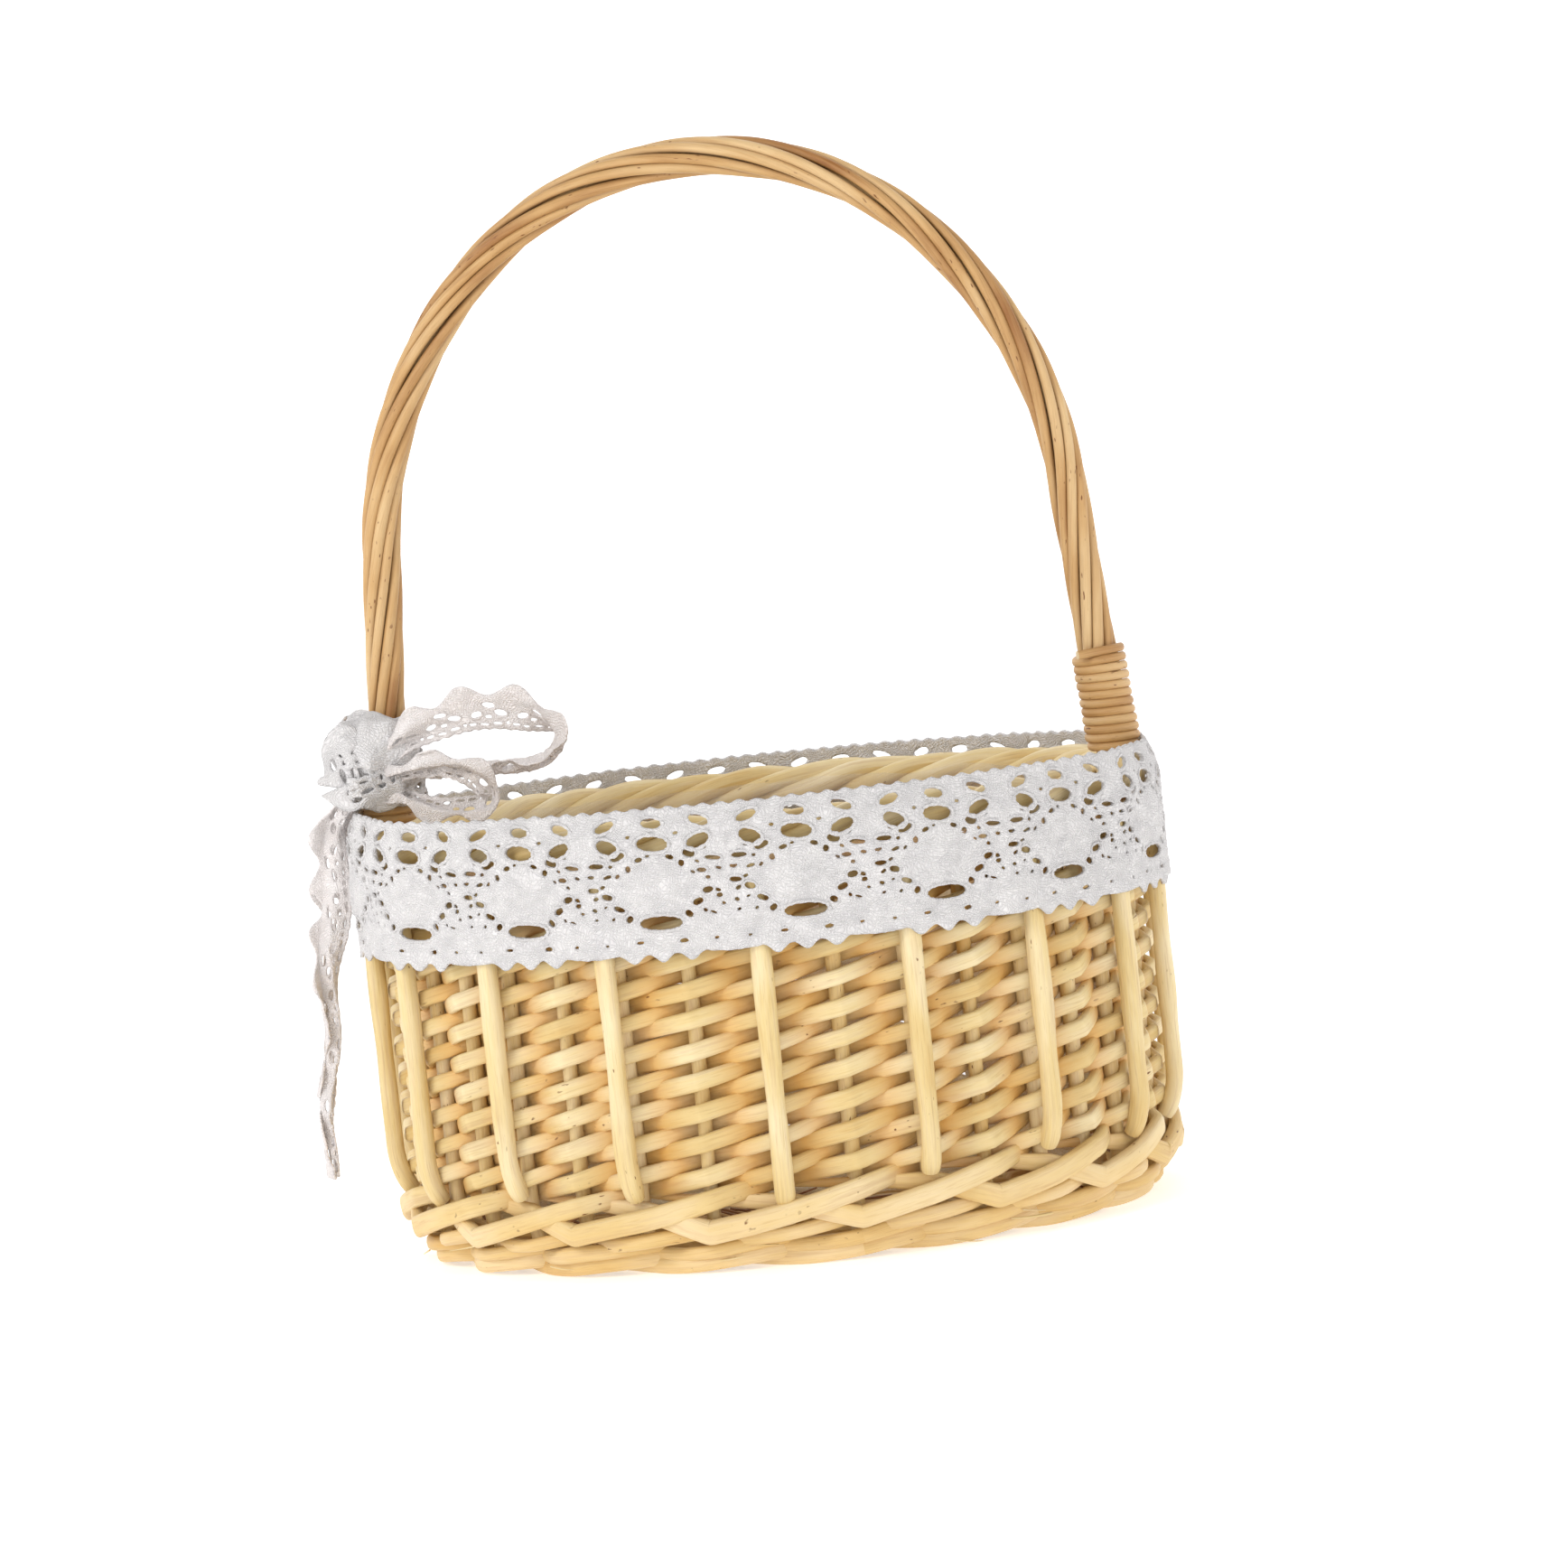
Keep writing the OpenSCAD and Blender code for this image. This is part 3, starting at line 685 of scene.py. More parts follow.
# ---------------------------------------------------------------- handle
LEG_LEAN = 4.5
LEG_START_Z = BORDER_Z + 5.7
LEG_END_Z = 170.0
SHOULDER = 45.0
HANDLE_R = STRAND_RING_R + STRAND_R
APEX_Z = HANDLE_TOP_Z - HANDLE_R
arc_x = WALL_A - (LEG_END_Z - LEG_START_Z) * math.tan(math.radians(LEG_LEAN))
arc_z = APEX_Z - LEG_END_Z
sin_s, cos_s = math.sin(math.radians(SHOULDER)), math.cos(math.radians(SHOULDER))
sin_l, cos_l = math.sin(math.radians(90 - LEG_LEAN)), math.cos(math.radians(90 - LEG_LEAN))
arcs = np.array([[sin_s, sin_l - sin_s], [1 - cos_s, cos_s - cos_l]])
TOP_RADIUS, SHOULDER_RADIUS = np.linalg.solve(arcs, [arc_x, arc_z])
SHOULDER_X = (TOP_RADIUS - SHOULDER_RADIUS) * sin_s
SHOULDER_Z = APEX_Z - TOP_RADIUS + (TOP_RADIUS - SHOULDER_RADIUS) * cos_s
LEG_LENGTH = (LEG_END_Z - LEG_START_Z) / math.cos(math.radians(LEG_LEAN))
SHOULDER_LENGTH = SHOULDER_RADIUS * math.radians(90 - LEG_LEAN - SHOULDER)
HALF_HANDLE = LEG_LENGTH + SHOULDER_LENGTH + TOP_RADIUS * math.radians(SHOULDER)


def half_line(t):
    if t <= LEG_LENGTH:
        a = math.radians(LEG_LEAN)
        return WALL_A - t * math.sin(a), LEG_START_Z + t * math.cos(a), a
    if t <= LEG_LENGTH + SHOULDER_LENGTH:
        a = math.radians(LEG_LEAN) + (t - LEG_LENGTH) / SHOULDER_RADIUS
        return SHOULDER_X + SHOULDER_RADIUS * math.cos(a), SHOULDER_Z + SHOULDER_RADIUS * math.sin(a), a
    a = math.radians(90 - SHOULDER) + (t - LEG_LENGTH - SHOULDER_LENGTH) / TOP_RADIUS
    return TOP_RADIUS * math.cos(a), APEX_Z - TOP_RADIUS + TOP_RADIUS * math.sin(a), a


def handle_line(t):
    """x, z and the angle of the outward normal, at length t from the left foot."""
    if t <= HALF_HANDLE:
        x, z, a = half_line(t)
        return -x, z, math.pi - a
    return half_line(2 * HALF_HANDLE - t)


def along_handle(ts):
    rows = np.array([handle_line(float(t)) for t in ts])
    centre = np.stack([rows[:, 0], np.zeros(len(rows)), rows[:, 1]], -1)
    out = np.stack([np.cos(rows[:, 2]), np.zeros(len(rows)), np.sin(rows[:, 2])], -1)
    return centre, out


ACROSS = np.array([0.0, -1.0, 0.0])
ts = np.linspace(-3.0, 2 * HALF_HANDLE + 3.0, 230)
centre, out = along_handle(np.clip(ts, 0.01, 2 * HALF_HANDLE - 0.01))
tangent_ends = np.where(ts < 0, ts, np.where(ts > 2 * HALF_HANDLE, 2 * HALF_HANDLE - ts, 0.0))
centre[:, 2] += tangent_ends
strands = Rods()
for k in range(8):
    turn = TAU * (k / 8 + ts / TWIST_PITCH) + wander(ts, 60, k + 0.3, 0.18)
    ring = STRAND_RING_R * (1 + wander(ts, 25, k + 20.7, 0.07))
    outward = out * np.cos(turn)[:, None] + ACROSS * np.sin(turn)[:, None]
    path = centre + outward * ring[:, None]
    r = STRAND_R * (1 + wander(ts, 30, k + 50.1, 0.16)) * rng.uniform(0.96, 1.07)
    # painted shade: each strand is darkened on the sides that face the middle of the bundle and its
    # neighbours, where the gaps lie in shade
    strand_gap_shade = np.clip(0.42 - 1.1 * np.cos(np.arange(14) * TAU / 14 + math.pi), 0, 1)[None, :]
    strands.add(path, outward, r, r * 1.02, rng.random(), sides=14, square=2.1, deep=strand_gap_shade)
strands.build("handle_strand_bundle", [cane, cut_end], slot="cane", replaces=["handle_strands"])

core = Rods()
leg_z = np.linspace(2.2, LEG_START_Z - 1, 30)
lower, lower_out = wall(3 * QUARTER, leg_z, 0.0)
upper_t = np.linspace(0, 2 * HALF_HANDLE, 120)
upper, upper_out = along_handle(upper_t)
mirror_x = np.array([-1.0, 1.0, 1.0])
path = np.concatenate([lower, upper, (lower * mirror_x)[::-1]])
outward = np.concatenate([lower_out, upper_out, (lower_out * mirror_x)[::-1]])
radius = np.concatenate([np.full(30, INNER_R), np.full(120, 2.05), np.full(30, INNER_R)])
core.add(path, outward, radius, radius, 0.5, sides=10, square=2.0)
core.build("handle_bow", [cane, cut_end], slot="cane", replaces=["handle_core"])

for side, label in ((-1, "left"), (1, "right")):
    turns = 11.25
    n = int(turns * 28)
    a = np.linspace(0, TAU * turns, n)
    rise = CANE_R + 0.3 + a / TAU * (2 * CANE_R - 0.02)
    rise += 0.35 * np.cos(a) * np.clip((a / TAU - 7) / 4, 0, 1)  # the top turns slant a little
    wind = HANDLE_R + CANE_R * 0.92 + wander(a, 9, side + 4.4, 0.25)
    lean = math.radians(LEG_LEAN)
    foot = np.array([side * WALL_A, 0.0, LEG_START_Z])
    axis = np.array([-side * math.sin(lean), 0.0, math.cos(lean)])
    x_dir = np.array([math.cos(lean), 0.0, side * math.sin(lean)])
    radial = x_dir * (side * np.cos(a))[:, None] + ACROSS * np.sin(a)[:, None]
    path = foot + axis * rise[:, None] + radial * wind[:, None]
    # the last quarter turn runs straight off towards the middle of the basket
    tail = path[-1] + np.outer(np.linspace(1.0, 5.5, 6), unit(path[-1] - path[-4]))
    path = np.concatenate([path, tail])
    radial = np.concatenate([radial, np.tile(radial[-1], (6, 1))])
    rods = Rods()
    rods.add(path, radial, CANE_R * 0.9, CANE_R * 1.02, 0.6, sides=10, square=2.2)
    rods.build(f"foot_binding_{label}", [cane, cut_end], slot="cane", replaces=[f"handle_binding_{label}"])

# ---------------------------------------------------------------- liner
columns, wall_rows, floor_rows = 360, 40, 30
verts = []
s = np.arange(columns) / columns * FULL
loop = s / FULL * TAU

top_edge = WALL_TOP_Z + 7.6 + 2.4 * loop_noise(loop, 5, 2.0)
for i in range(wall_rows):
    f = i / (wall_rows - 1)
    z = top_edge + (LINER_FLOOR_Z + 0.4 - top_edge) * f
    folds = np.abs(loop_noise(loop, 9, f * 0.5 + 8.0)) * 5.5
    folds += np.abs(loop_noise(loop, 22, f * 0.9 + 5.0)) * 1.8
    x, y, nx, ny = plan(s, -5.2 - 1.6 * (1 - f)**8 - folds - 1.4 * f**6)
    verts.extend(np.stack([x, y, z], -1))
edge = np.array(verts[-columns:])
for i in range(1, floor_rows):
    f = 1 - i / floor_rows
    crumple = np.array([noise.noise(Vector((p[0] * f / 11, p[1] * f / 11, 3.0))) for p in edge])
    z = LINER_FLOOR_Z + 0.5 + 1.2 * crumple * min(1.0, i / 4)
    verts.extend(np.stack([edge[:, 0] * f, edge[:, 1] * f, z], -1))
rows = wall_rows + floor_rows - 1
faces = [(i * columns + j, i * columns + (j + 1) % columns, (i + 1) * columns + (j + 1) % columns,
          (i + 1) * columns + j) for i in range(rows - 1) for j in range(columns)]
verts.append(np.array([0.0, 0.0, LINER_FLOOR_Z + 0.5]))
faces += [((rows - 1) * columns + j, (rows - 1) * columns + (j + 1) % columns, len(verts) - 1)
          for j in range(columns)]
liner = new_object("film_liner", verts, faces, [film])
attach(liner, "basket")
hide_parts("liner")


# ---------------------------------------------------------------- lace
def lace_repeat(period, top, bottom, holes, spacing):
    """One repeat of a lace pattern in its own plane: u runs along it, w down from the top edge.
    holes are (u, w, width, height, tilt). Gives points, triangles and each hole's outline."""
    n_side = int(round((bottom(0.0) - top(0.0)) / spacing))
    n_edge = int(round(period / spacing))
    edge = [(0.0, top(0.0) + (bottom(0.0) - top(0.0)) * i / n_side) for i in range(n_side)]
    edge += [(period * i / n_edge, bottom(period * i / n_edge)) for i in range(n_edge)]
    edge += [(period, bottom(0.0) + (top(0.0) - bottom(0.0)) * i / n_side) for i in range(n_side)]
    edge += [(period * (1 - i / n_edge), top(period * (1 - i / n_edge))) for i in range(n_edge)]
    points = [Vector(p) for p in edge]
    loops = [list(range(len(points)))]
    outlines = []
    for u, w, width, height, tilt in holes:
        steps = max(8, int(math.pi * (width + height) / 2 / spacing * 1.3))
        outline = []
        for i in range(steps):
            a = TAU * i / steps
            c, q = math.cos(a), math.sin(a)
            x = math.copysign(abs(c) ** 0.85, c) * width / 2
            y = math.copysign(abs(q) ** 0.95, q) * height / 2
            ct, st = math.cos(tilt), math.sin(tilt)
            outline.append((u + x * ct - y * st, w + x * st + y * ct))
        outlines.append(outline)
        loops.append(list(range(len(points), len(points) + len(outline))))
        points += [Vector(p) for p in outline]
    jitter = random.Random(5)
    rows_n = int(max(bottom(period * i / 20) for i in range(21)) / (spacing * 0.87)) + 1
    for r in range(rows_n):
        for c in range(n_edge):
            u = (c + 0.5 * (r % 2)) * spacing + jitter.uniform(-0.12, 0.12) * spacing
            w = r * spacing * 0.87 + jitter.uniform(-0.12, 0.12) * spacing
            if not spacing * 0.5 < u < period - spacing * 0.5:
                continue
            if not top(u) + spacing * 0.5 < w < bottom(u) - spacing * 0.5:
                continue
            near = False
            for hu, hw, width, height, tilt in holes:
                ct, st = math.cos(tilt), math.sin(tilt)
                x = (u - hu) * ct + (w - hw) * st
                y = -(u - hu) * st + (w - hw) * ct
                rim = spacing * 0.45
                if (x / (width / 2 + rim)) ** 2 + (y / (height / 2 + rim)) ** 2 < 1:
                    near = True
                    break
            if not near:
                points.append(Vector((u, w)))
    edges = [(l[i], l[(i + 1) % len(l)]) for l in loops for i in range(len(l))]
    out_points, _, out_faces, *_ = delaunay_2d_cdt(points, edges, [], 0, 1e-5)
    keep = []
    for f in out_faces:
        u = sum(out_points[i][0] for i in f) / 3
        w = sum(out_points[i][1] for i in f) / 3
        if not 0 <= u <= period or not top(u) - 0.02 < w < bottom(u) + 0.02:
            continue
        if max((out_points[f[i]] - out_points[f[i - 1]]).length for i in range(3)) > 3 * spacing:
            continue
        if any(inside(u, w, outline) for outline in outlines):
            continue
        keep.append(tuple(f))
    corners = np.array(out_points)[np.array(keep)]
    one, two = corners[:, 1] - corners[:, 0], corners[:, 2] - corners[:, 0]
    cloth = float(np.abs(one[:, 0] * two[:, 1] - one[:, 1] * two[:, 0]).sum() / 2)
    return [tuple(p) for p in out_points], keep, outlines, cloth


def inside(u, w, outline):
    hit = False
    for i in range(len(outline)):
        (x1, y1), (x2, y2) = outline[i - 1], outline[i]
        if (y1 > w) != (y2 > w) and u < x1 + (w - y1) / (y2 - y1) * (x2 - x1):
            hit = not hit
    return hit


def lace_object(name, repeats, pattern, period, place, thickness, material, yarn=0.42):
    """Repeats the pattern, puts it in space with place(u, w, proud), and lays a raised yarn round
    each hole. place takes arrays and gives points."""
    points, tris, outlines, _ = pattern
    pts = np.array(points)
    u = np.concatenate([pts[:, 0] + period * r for r in range(repeats)])
    w = np.tile(pts[:, 1], repeats)
    tris = np.array(tris)
    faces = np.concatenate([tris + len(pts) * r for r in range(repeats)])
    flat = place(u, w, np.zeros(len(u)))
    lumps = np.array([noise.noise(Vector(v * 1.15)) for v in flat])
    fine = np.array([noise.noise(Vector(v * 0.35)) for v in flat])
    xyz = place(u, w, 0.3 * lumps + 0.3 * fine)
    uv = np.stack([u, w], -1)[faces.reshape(-1)] * MM
    sheet = new_object(name, xyz, [tuple(int(i) for i in f) for f in faces], [material], uv)
    bm = bmesh.new()
    bm.from_mesh(sheet.data)
    bmesh.ops.remove_doubles(bm, verts=bm.verts, dist=2e-5)
    bmesh.ops.recalc_face_normals(bm, faces=bm.faces)
    bm.to_mesh(sheet.data)
    bm.free()
    thick = sheet.modifiers.new("thickness", "SOLIDIFY")
    thick.thickness = thickness * MM
    thick.offset = 0.0
    cords = Rods()
    for r in range(repeats):
        for k, outline in enumerate(outlines):
            o = np.array(outline)
            c = o.mean(0)
            size = np.abs(o - c).max(0)
            if size.max() < 0.85:
                continue
            o = c + (o - c) * (1 + yarn * 0.8 / np.maximum(size, 0.6))
            cu, cw = o[:, 0] + period * r, o[:, 1]
            # the yarn swells and thins with each stitch, and is thinner round small holes
            beat = (1 + 0.22 * np.cos(np.arange(len(o)) * 2.1)) * min(1.0, 0.45 + 0.22 * size.max())
            proud = np.full(len(o), thickness * 0.35)
            path = place(cu, cw, proud)
            lift = place(cu, cw, proud + 1.0) - path
            cords.add(path, lift, yarn * beat, yarn * beat, 0.5, sides=6, closed=True)
    return sheet, cords


LACE_PERIODS = 16
LACE_HEIGHT = LACE_TOP_Z - LACE_LOW_Z
lace_length = FULL + TAU * LACE_LANE
PERIOD = lace_length / LACE_PERIODS
half_p = PERIOD / 2
LACE_START = -4.5


def lace_top(u):
    return 0.35 - 0.3 * math.cos(TAU * u / PERIOD * 8)


def lace_bottom(u):
    """Three points under each medallion, and a shallow dip between the groups."""
    off = abs((u % PERIOD) - half_p)
    if off < 10.2:
        return LACE_HEIGHT - 2.3 + 1.9 * abs(math.cos(math.pi * off / 6.8)) ** 2.2
    return LACE_HEIGHT - 2.4 + 0.5 * math.sin(math.pi * (off - 10.2) / (half_p - 10.2) * 0.5)


# u from the middle of the medallion, w from the top edge, width, height, tilt
half_holes = [
    (8.6, 10.6, 3.4, 1.8, 0.2), (3.6, 11.2, 1.9, 1.1, 0.25), (6.4, 13.0, 1.5, 1.5, 0.4),
    (11.0, 14.4, 2.6, 1.0, 0.1), (13.7, 12.1, 3.8, 1.2, 0.1), (12.0, 18.9, 2.4, 1.3, -0.2),
    (9.4, 21.8, 2.5, 1.5, -0.25), (7.2, 24.4, 2.3, 1.4, 0.5), (5.2, 29.8, 2.3, 0.9, 0.0),
    (12.4, 16.6, 1.6, 0.8, 0.3), (15.0, 14.4, 1.5, 0.8, 0.1), (8.8, 14.9, 1.3, 0.8, 0.5),
    (10.2, 12.6, 1.2, 0.8, 0.4), (14.6, 19.4, 1.5, 1.0, 0.4), (10.9, 24.0, 1.1, 0.8, 0.6),
    (1.3, 10.4, 1.2, 0.7, 0.1), (12.0, 9.6, 1.3, 0.8, -0.2), (13.0, 29.9, 1.2, 0.7, 0.0),
]
holes = [(half_p + 0.4, 25.8, 10.2, 3.1, 0.03)]
uneven = random.Random(3)
for du, w, a, b, tilt in half_holes:
    for sign in (1, -1):
        du2 = sign * (du + uneven.uniform(-0.25, 0.25))
        holes.append((half_p + du2, w + uneven.uniform(-0.3, 0.3), a * uneven.uniform(0.8, 1.1),
                      b * uneven.uniform(0.85, 1.15), sign * tilt + uneven.uniform(-0.15, 0.15)))
for k in range(3):
    holes.append((PERIOD * (k + 0.5) / 3, 3.5, 5.0, 2.2, (-0.3, 0.12, 0.3)[k]))
row_two = ((0.5, 7.4, 3.3, 0.1), (0.18, 5.3, 3.1, 0.35), (0.82, 5.7, 2.9, -0.3))
for at, a, b, tilt in row_two:
    holes.append((PERIOD * at, 8.0, a, b, tilt))
for k in range(26):
    side = uneven.choice((-1, 1))
    du = side * uneven.uniform(9.5, half_p - 1.2)
    w = uneven.uniform(10.5, 24.5)
    if not any(abs(h[0] - half_p - du) < h[2] / 2 + 1.3 and abs(h[1] - w) < h[3] / 2 + 0.9 for h in holes):
        holes.append((half_p + du, w, uneven.uniform(0.9, 2.0), uneven.uniform(0.55, 0.9), side * 0.3))
# between the medallions, and under the first row
holes += [(1.9, 17.4, 2.9, 1.2, 0.05), (PERIOD - 2.2, 20.6, 1.5, 1.1, 0.0), (1.8, 21.9, 1.3, 0.9, 0.3),
          (1.5, 14.4, 1.6, 0.8, 0.2), (PERIOD / 3, 6.1, 1.2, 0.8, 0.0), (PERIOD * 2 / 3, 6.0, 1.3, 0.8, 0.0)]


def on_band(u, w, proud):
    s = u / lace_length * FULL + LACE_START
    # the bow pulls the band up a little at the left foot of the handle
    z = LACE_TOP_Z - w + 1.6 * np.exp(-(((s % FULL) - 3 * QUARTER) / 26.0) ** 2)
    bays = np.interp(s % FULL, [post(j) for j in range(BAYS + 1)], np.arange(BAYS + 1))
    between = np.sin(math.pi * (bays % 1)) ** 2
    lane = LACE_LANE + 0.45 - 0.9 * between
    lane = lane - 2.6 * np.clip((9.0 - w) / 9.0, 0, 1) ** 1.6
    lane = lane + 0.7 * np.clip(1 - ((u % PERIOD - half_p) ** 2 + (w - 18.0) ** 2) / 8.3**2, 0, 1)
    x, y, nx, ny = plan(s, lane)
    sway = np.array([noise.noise(Vector((a / 9, b / 9, c / 9))) for a, b, c in zip(x, y, z)])
    x, y, nx, ny = plan(s, lane + proud + 0.4 * sway)
    return np.stack([x, y, z], -1)


pattern = lace_repeat(PERIOD, lace_top, lace_bottom, holes, 0.66)
band, cords = lace_object("lace_trim", LACE_PERIODS, pattern, PERIOD, on_band, 0.75, cotton)
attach(band, "basket")
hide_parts("lace_band")
band_yarn = cords.build("lace_trim_yarn", [cotton, cotton], slot="lace")

# ---------------------------------------------------------------- bow
RIBBON_W = 11.5
RIBBON_PERIOD = 12.5
FOLDS = 1.5


def ribbon_top(u):
    return 1.5 - 1.5 * math.cos(TAU * u / RIBBON_PERIOD)


def ribbon_bottom(u):
    return RIBBON_W - 0.15 + 0.15 * math.cos(TAU * u / RIBBON_PERIOD * 4)


ribbon_holes = [
    (6.3, 5.4, 3.2, 1.5, 0.15), (2.9, 7.6, 3.0, 1.6, -0.2), (9.4, 7.3, 3.4, 1.5, 0.2),
    (6.2, 8.3, 1.9, 1.0, 0.0), (1.5, 9.9, 2.2, 0.8, 0.0), (4.9, 10.1, 2.6, 0.7, 0.1),
    (8.7, 9.9, 2.8, 0.8, 0.0), (11.6, 9.7, 1.2, 0.7, 0.0),
]
ribbon_pattern = lace_repeat(RIBBON_PERIOD, ribbon_top, ribbon_bottom, ribbon_holes, 0.7)


def catmull(points, t):
    """A smooth curve through points, t from 0 to 1, evenly spaced by length."""
    p = np.array(points, float)
    p = np.concatenate([[2 * p[0] - p[1]], p, [2 * p[-1] - p[-2]]])
    fine = []
    for i in range(1, len(p) - 2):
        for f in np.linspace(0, 1, 30, endpoint=False):
            fine.append(0.5 * ((2 * p[i]) + (p[i + 1] - p[i - 1]) * f
                               + (2 * p[i - 1] - 5 * p[i] + 4 * p[i + 1] - p[i + 2]) * f**2
                               + (3 * p[i] - p[i - 1] - 3 * p[i + 1] + p[i + 2]) * f**3))
    fine.append(p[-2])
    fine = np.array(fine)
    length = np.concatenate([[0], np.cumsum(np.linalg.norm(np.diff(fine[:, :3], axis=0), axis=1))])
    out = np.stack([np.interp(np.asarray(t) * length[-1], length, fine[:, k]) for k in range(p.shape[1])], -1)
    return out, length[-1]


def ribbon(name, stations, body, replaces, material=cotton_ribbon_lightened):
    """A strip of ribbon along stations (x, y, z, then the direction its scalloped edge points, and
    how much of its width is spread)."""
    _, length = catmull(stations, [0.0])
    repeats = max(1, round(length / RIBBON_PERIOD))
    run = repeats * RIBBON_PERIOD

    def place(u, w, proud):
        t = np.clip(u / run, 0, 1)
        q, _ = catmull(stations, t)
        ahead, _ = catmull(stations, np.clip(t + 0.01, 0, 1))
        behind, _ = catmull(stations, np.clip(t - 0.01, 0, 1))
        tangent = unit(ahead[:, :3] - behind[:, :3])
        edge = q[:, 3:6] - (q[:, 3:6] * tangent).sum(-1, keepdims=True) * tangent
        edge = unit(edge)
        face = np.cross(tangent, edge)
        across = RIBBON_W / 2 - w
        curl = 1.2 * np.sin(across / RIBBON_W * math.pi) * np.sin(u / 9.0)
        # where the ribbon is narrower than it is wide, it lies in lengthways folds
        folds = TAU * FOLDS * across / RIBBON_W + 0.9 * np.sin(u / 7.0)
        zigzag = np.arcsin(0.96 * np.sin(folds)) * 2 / math.pi
        gather = np.sqrt(np.clip(1 - q[:, 6] ** 2, 0, 1)) * RIBBON_W / FOLDS / 4 * zigzag
        off = proud * 0.8 + curl * 0.35 + gather
        return q[:, :3] + edge * (across * q[:, 6])[:, None] + face * off[:, None]

    sheet, cords = lace_object(name, repeats, ribbon_pattern, RIBBON_PERIOD, place, 0.5, material, yarn=0.3)
    fixed = body == "basket"
    yarn_piece = cords.build(name + "_yarn", [material] * 2, slot="lace", rides=fixed)
    if fixed:
        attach(sheet, body)
    else:
        for piece in (sheet, yarn_piece):
            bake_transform(piece)
    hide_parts(*replaces)


ribbon("bow_upper_loop", [
    (-86, -13, 121, 0, -0.3, 1, 0.35), (-78.5, -15, 127, 0, -0.3, 1, 0.85), (-64, -16, 131, 0, -0.25, 1, 1.0),
    (-51, -16, 129.5, 0, -0.4, 1, 0.95), (-44.2, -15, 124.5, 0.2, -0.9, 0.5, 0.75),
    (-44.6, -14, 119.5, 0, -1, 0.1, 0.6), (-50, -14, 116.6, 0, -1, 0.25, 0.6),
    (-60, -13, 116.0, 0, -1, 0.2, 0.6),
    (-74, -12, 116.5, 0, -1, 0.2, 0.5), (-86, -11, 117, 0, -1, 0.2, 0.4),
], "basket", ["bow_loop_upper"])
ribbon("bow_lower_loop", [
    (-86, -14, 117, 0, -0.6, 0.8, 0.4), (-78, -16, 118.5, 0, -0.6, 0.8, 0.6),
    (-69, -17, 118.3, 0, -0.5, 0.9, 0.75),
    (-62.5, -17, 114.5, 0.6, -0.6, 0.5, 0.8), (-60.5, -16, 110, 0.9, -0.4, 0.1, 0.7),
    (-64, -15, 107.0, 0.3, -0.8, -0.4, 0.7), (-74, -15, 107.5, 0, -0.7, -0.6, 0.6),
    (-86, -12, 113, 0, -0.6, -0.6, 0.4),
], "basket", ["bow_loop_lower"])

# each tail's stations: how far it sways, how much of its width is spread, and which way its edge faces
TAIL_SWAY = (0.0, 0.8, -0.9, 0.9, -0.7, 0.6)
TAIL_SPREAD = (0.78, 0.86, 0.66, 0.42, 0.4, 0.32)
TAIL_FACE = ((-1, -0.3, 0), (-0.95, 0.25, 0), (-0.9, -0.4, 0), (-0.6, -0.8, 0),
             (-0.9, -0.5, 0), (-0.5, -0.9, 0))
for label, y, length, sign in (("front", -8.0, 84.0, 1.0), ("back", 2.0, 66.0, -0.8)):
    stations = [(-95, y - 2, 112, -0.5, -0.6, 0.5, 0.4), (-99.0, y - 1, 108.5, -0.9, -0.4, 0.2, 0.6)]
    for k, (sway, face, spread) in enumerate(zip(TAIL_SWAY, TAIL_FACE, TAIL_SPREAD)):
        f = k / 5
        stations.append((-101.9 - 8.3 * f + sign * sway, y + 0.8 * sign * sway, 103.5 - (length - 2) * f,
                         *face, spread))
    ribbon(f"bow_{label}_tail", stations, f"tail_{label}", [f"bow_tail_{label}"])

# the lump: ribbon wound round the foot of the handle, and a gathered rosette in front of it
def round_leg(name, z, radius, tilt, first):
    rows = []
    for a in np.radians(np.arange(first, first + 361, 30)):
        c, s = math.cos(a), math.sin(a)
        rows.append((-87.2 + radius * c, -0.6 + radius * 1.02 * s, z + tilt * s,
                     c * 0.15, s * 0.15, 1.0, 0.96))
    ribbon(name, rows, "basket", ["bow_wrap"], cotton)


round_leg("bow_wrap_low", 115.5, 9.4, 1.2, 100)
round_leg("bow_wrap_high", 126.2, 8.6, -1.4, 160)
rosette = []
for k, a in enumerate(np.radians(np.arange(-150, 231, 24))):
    out = np.array([math.cos(a), 0.0, math.sin(a)])
    ruffle = math.sin(2.2 * k)
    mean = 6.8 + 0.8 * math.sin(1.7 * k)
    rosette.append((-90.8 + mean * out[0], -15.0 + ruffle * 0.6, 118.8 + mean * out[2],
                    out[0], 0.55 + 0.12 * ruffle, out[2], 1.0))
ribbon("bow_rosette", rosette, "basket", ["bow_knot"], cotton)

# the padded middle of the bow, puffed out in front
KNOT = np.array([-88.6, -9.6, 121.0])
KNOT_SIZE = np.array([10.2, 5.9, 11.0])
n_u, n_v = 110, 70
verts, faces, uvs = [], [], []
for i in range(n_v + 1):
    v = math.pi * i / n_v
    for j in range(n_u):
        a = TAU * j / n_u
        d = np.array([math.sin(v) * math.cos(a), math.sin(v) * math.sin(a), math.cos(v)])
        fold = math.sin(9 * math.atan2(d[2], d[0]) + 2.0 * d[1])
        lump = noise.noise(Vector(d * 2.4) + Vector((3, 1, 7)))
        k = 1 + 0.06 * fold * (1 - abs(d[1])) + 0.12 * lump
        puff = 3.4 * math.exp(-(d[0] ** 2 + d[2] ** 2) / 0.09) if d[1] < 0 else 0.0
        verts.append(KNOT + KNOT_SIZE * d * k - np.array([0.0, puff, 0.0]))
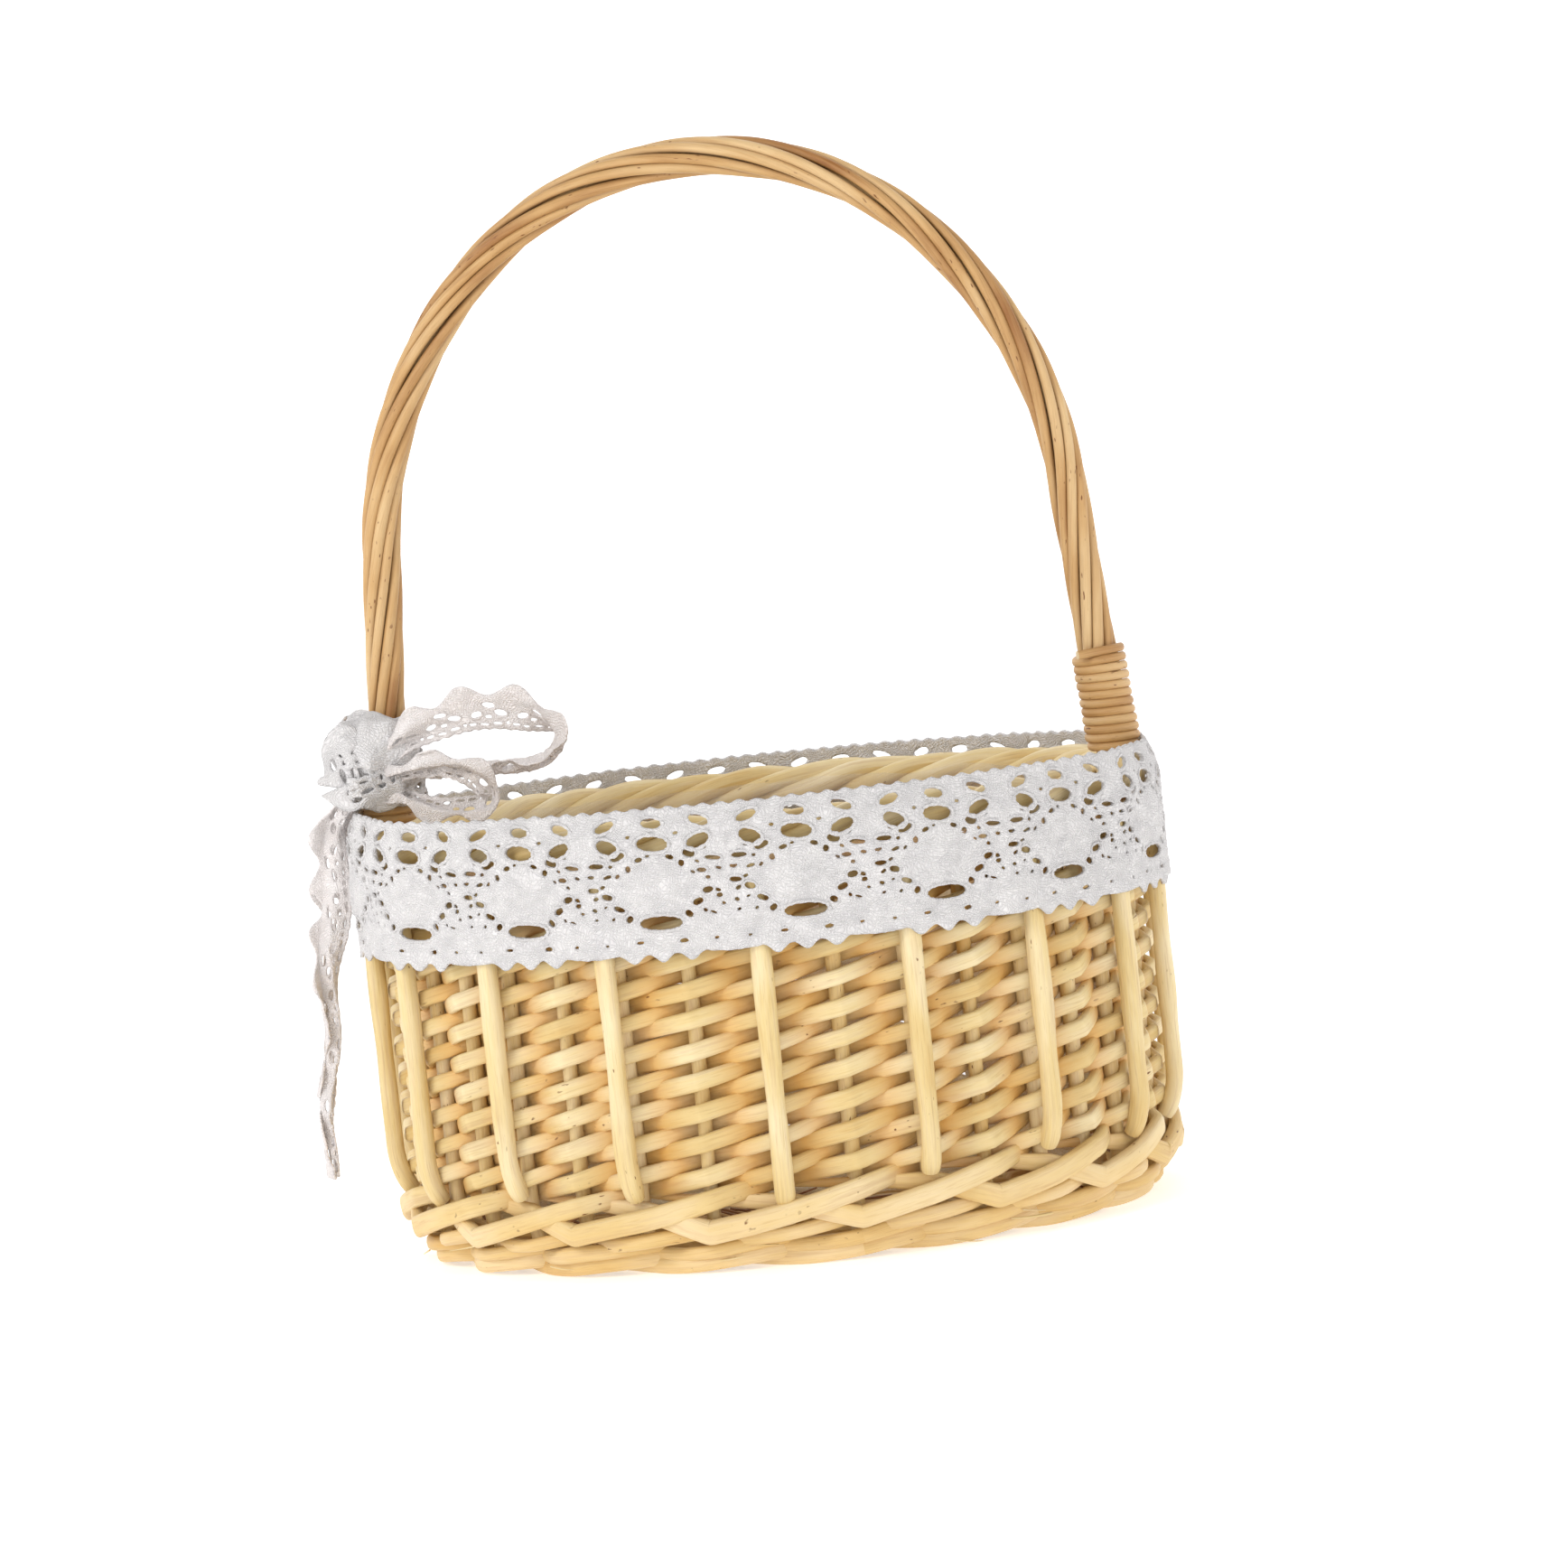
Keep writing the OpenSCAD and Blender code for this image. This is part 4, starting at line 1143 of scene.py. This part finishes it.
for i in range(n_v):
    for j in range(n_u):
        k = (j + 1) % n_u
        faces.append((i * n_u + j, i * n_u + k, (i + 1) * n_u + k, (i + 1) * n_u + j))
        for a, b in ((j, i), (j + 1, i), (j + 1, i + 1), (j, i + 1)):
            uvs.append((a / n_u * 0.045, b / n_v * 0.024))
knot = new_object("bow_centre", verts, faces, [cotton], uvs)
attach(knot, "basket")
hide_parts("bow_knot")

# ---------------------------------------------------------------- camera, floor, light
CAMERA_AT = (0.0358, -1.006, 0.1822)
CAMERA_LENS = 96.6
CAMERA_YAW, CAMERA_PITCH, CAMERA_ROLL = 0.0279, 0.0772, 0.1035
camera_data = bpy.data.cameras.new("camera")
camera_data.sensor_width = 36.0
camera_data.lens = CAMERA_LENS
camera = bpy.data.objects.new("camera", camera_data)
bpy.context.scene.collection.objects.link(camera)
look = Matrix.Rotation(CAMERA_YAW, 4, "Z") @ Matrix.Rotation(math.pi / 2 - CAMERA_PITCH, 4, "X")
camera.matrix_world = Matrix.Translation(CAMERA_AT) @ look @ Matrix.Rotation(-CAMERA_ROLL, 4, "Z")
bpy.context.scene.camera = camera


def stage_piece(name, verts, faces, base, roughness, emission):
    mesh = bpy.data.meshes.new(name)
    mesh.from_pydata(verts, [], faces)
    obj = bpy.data.objects.new(name, mesh)
    bpy.context.scene.collection.objects.link(obj)
    m = Nodes(name)
    m.set("Base Color", grey(base))
    m.set("Roughness", roughness)
    m.set("Emission Color", grey(1.0))
    m.set("Emission Strength", emission)
    mesh.materials.append(m.material)


FAR = 40.0
stage_piece("floor", [(-FAR, -FAR, 0), (FAR, -FAR, 0), (FAR, FAR, 0), (-FAR, FAR, 0)], [(0, 1, 2, 3)],
            0.86, 0.9, 0.47)
stage_piece("backdrop", [(-FAR, 8, -1), (FAR, 8, -1), (FAR, 8, FAR), (-FAR, 8, FAR)], [(0, 1, 2, 3)],
            0.5, 0.5, 1.0)
# a low ring wall, so that views from the other sides have the same white behind them
RING, RING_R, RING_LOW, RING_HIGH = 48, 8.5, -0.5, 2.6
ring_points = [(RING_R * math.cos(TAU * i / RING), RING_R * math.sin(TAU * i / RING), h)
               for h in (RING_LOW, RING_HIGH) for i in range(RING)]
ring_faces = [(i, (i + 1) % RING, (i + 1) % RING + RING, i + RING) for i in range(RING)]
stage_piece("backdrop_ring", ring_points, ring_faces, 0.5, 0.5, 1.0)

world = bpy.data.worlds.new("studio")
world.use_nodes = True
background = world.node_tree.nodes["Background"]
background.inputs["Color"].default_value = grey(1.0)
background.inputs["Strength"].default_value = 0.45
bpy.context.scene.world = world


def area_light(name, location, energy, size):
    data = bpy.data.lights.new(name, "AREA")
    data.energy = energy
    data.size = size
    obj = bpy.data.objects.new(name, data)
    obj.location = location
    obj.rotation_euler = (Vector((0, 0, 0.1)) - obj.location).to_track_quat("-Z", "Y").to_euler()
    bpy.context.scene.collection.objects.link(obj)


area_light("key", (-0.7, -0.75, 0.75), 4.7, 0.35)
area_light("fill", (0.9, -0.6, 0.5), 1.25, 0.8)
bpy.context.scene.view_settings.view_transform = "Standard"
bpy.context.scene.view_settings.look = "None"
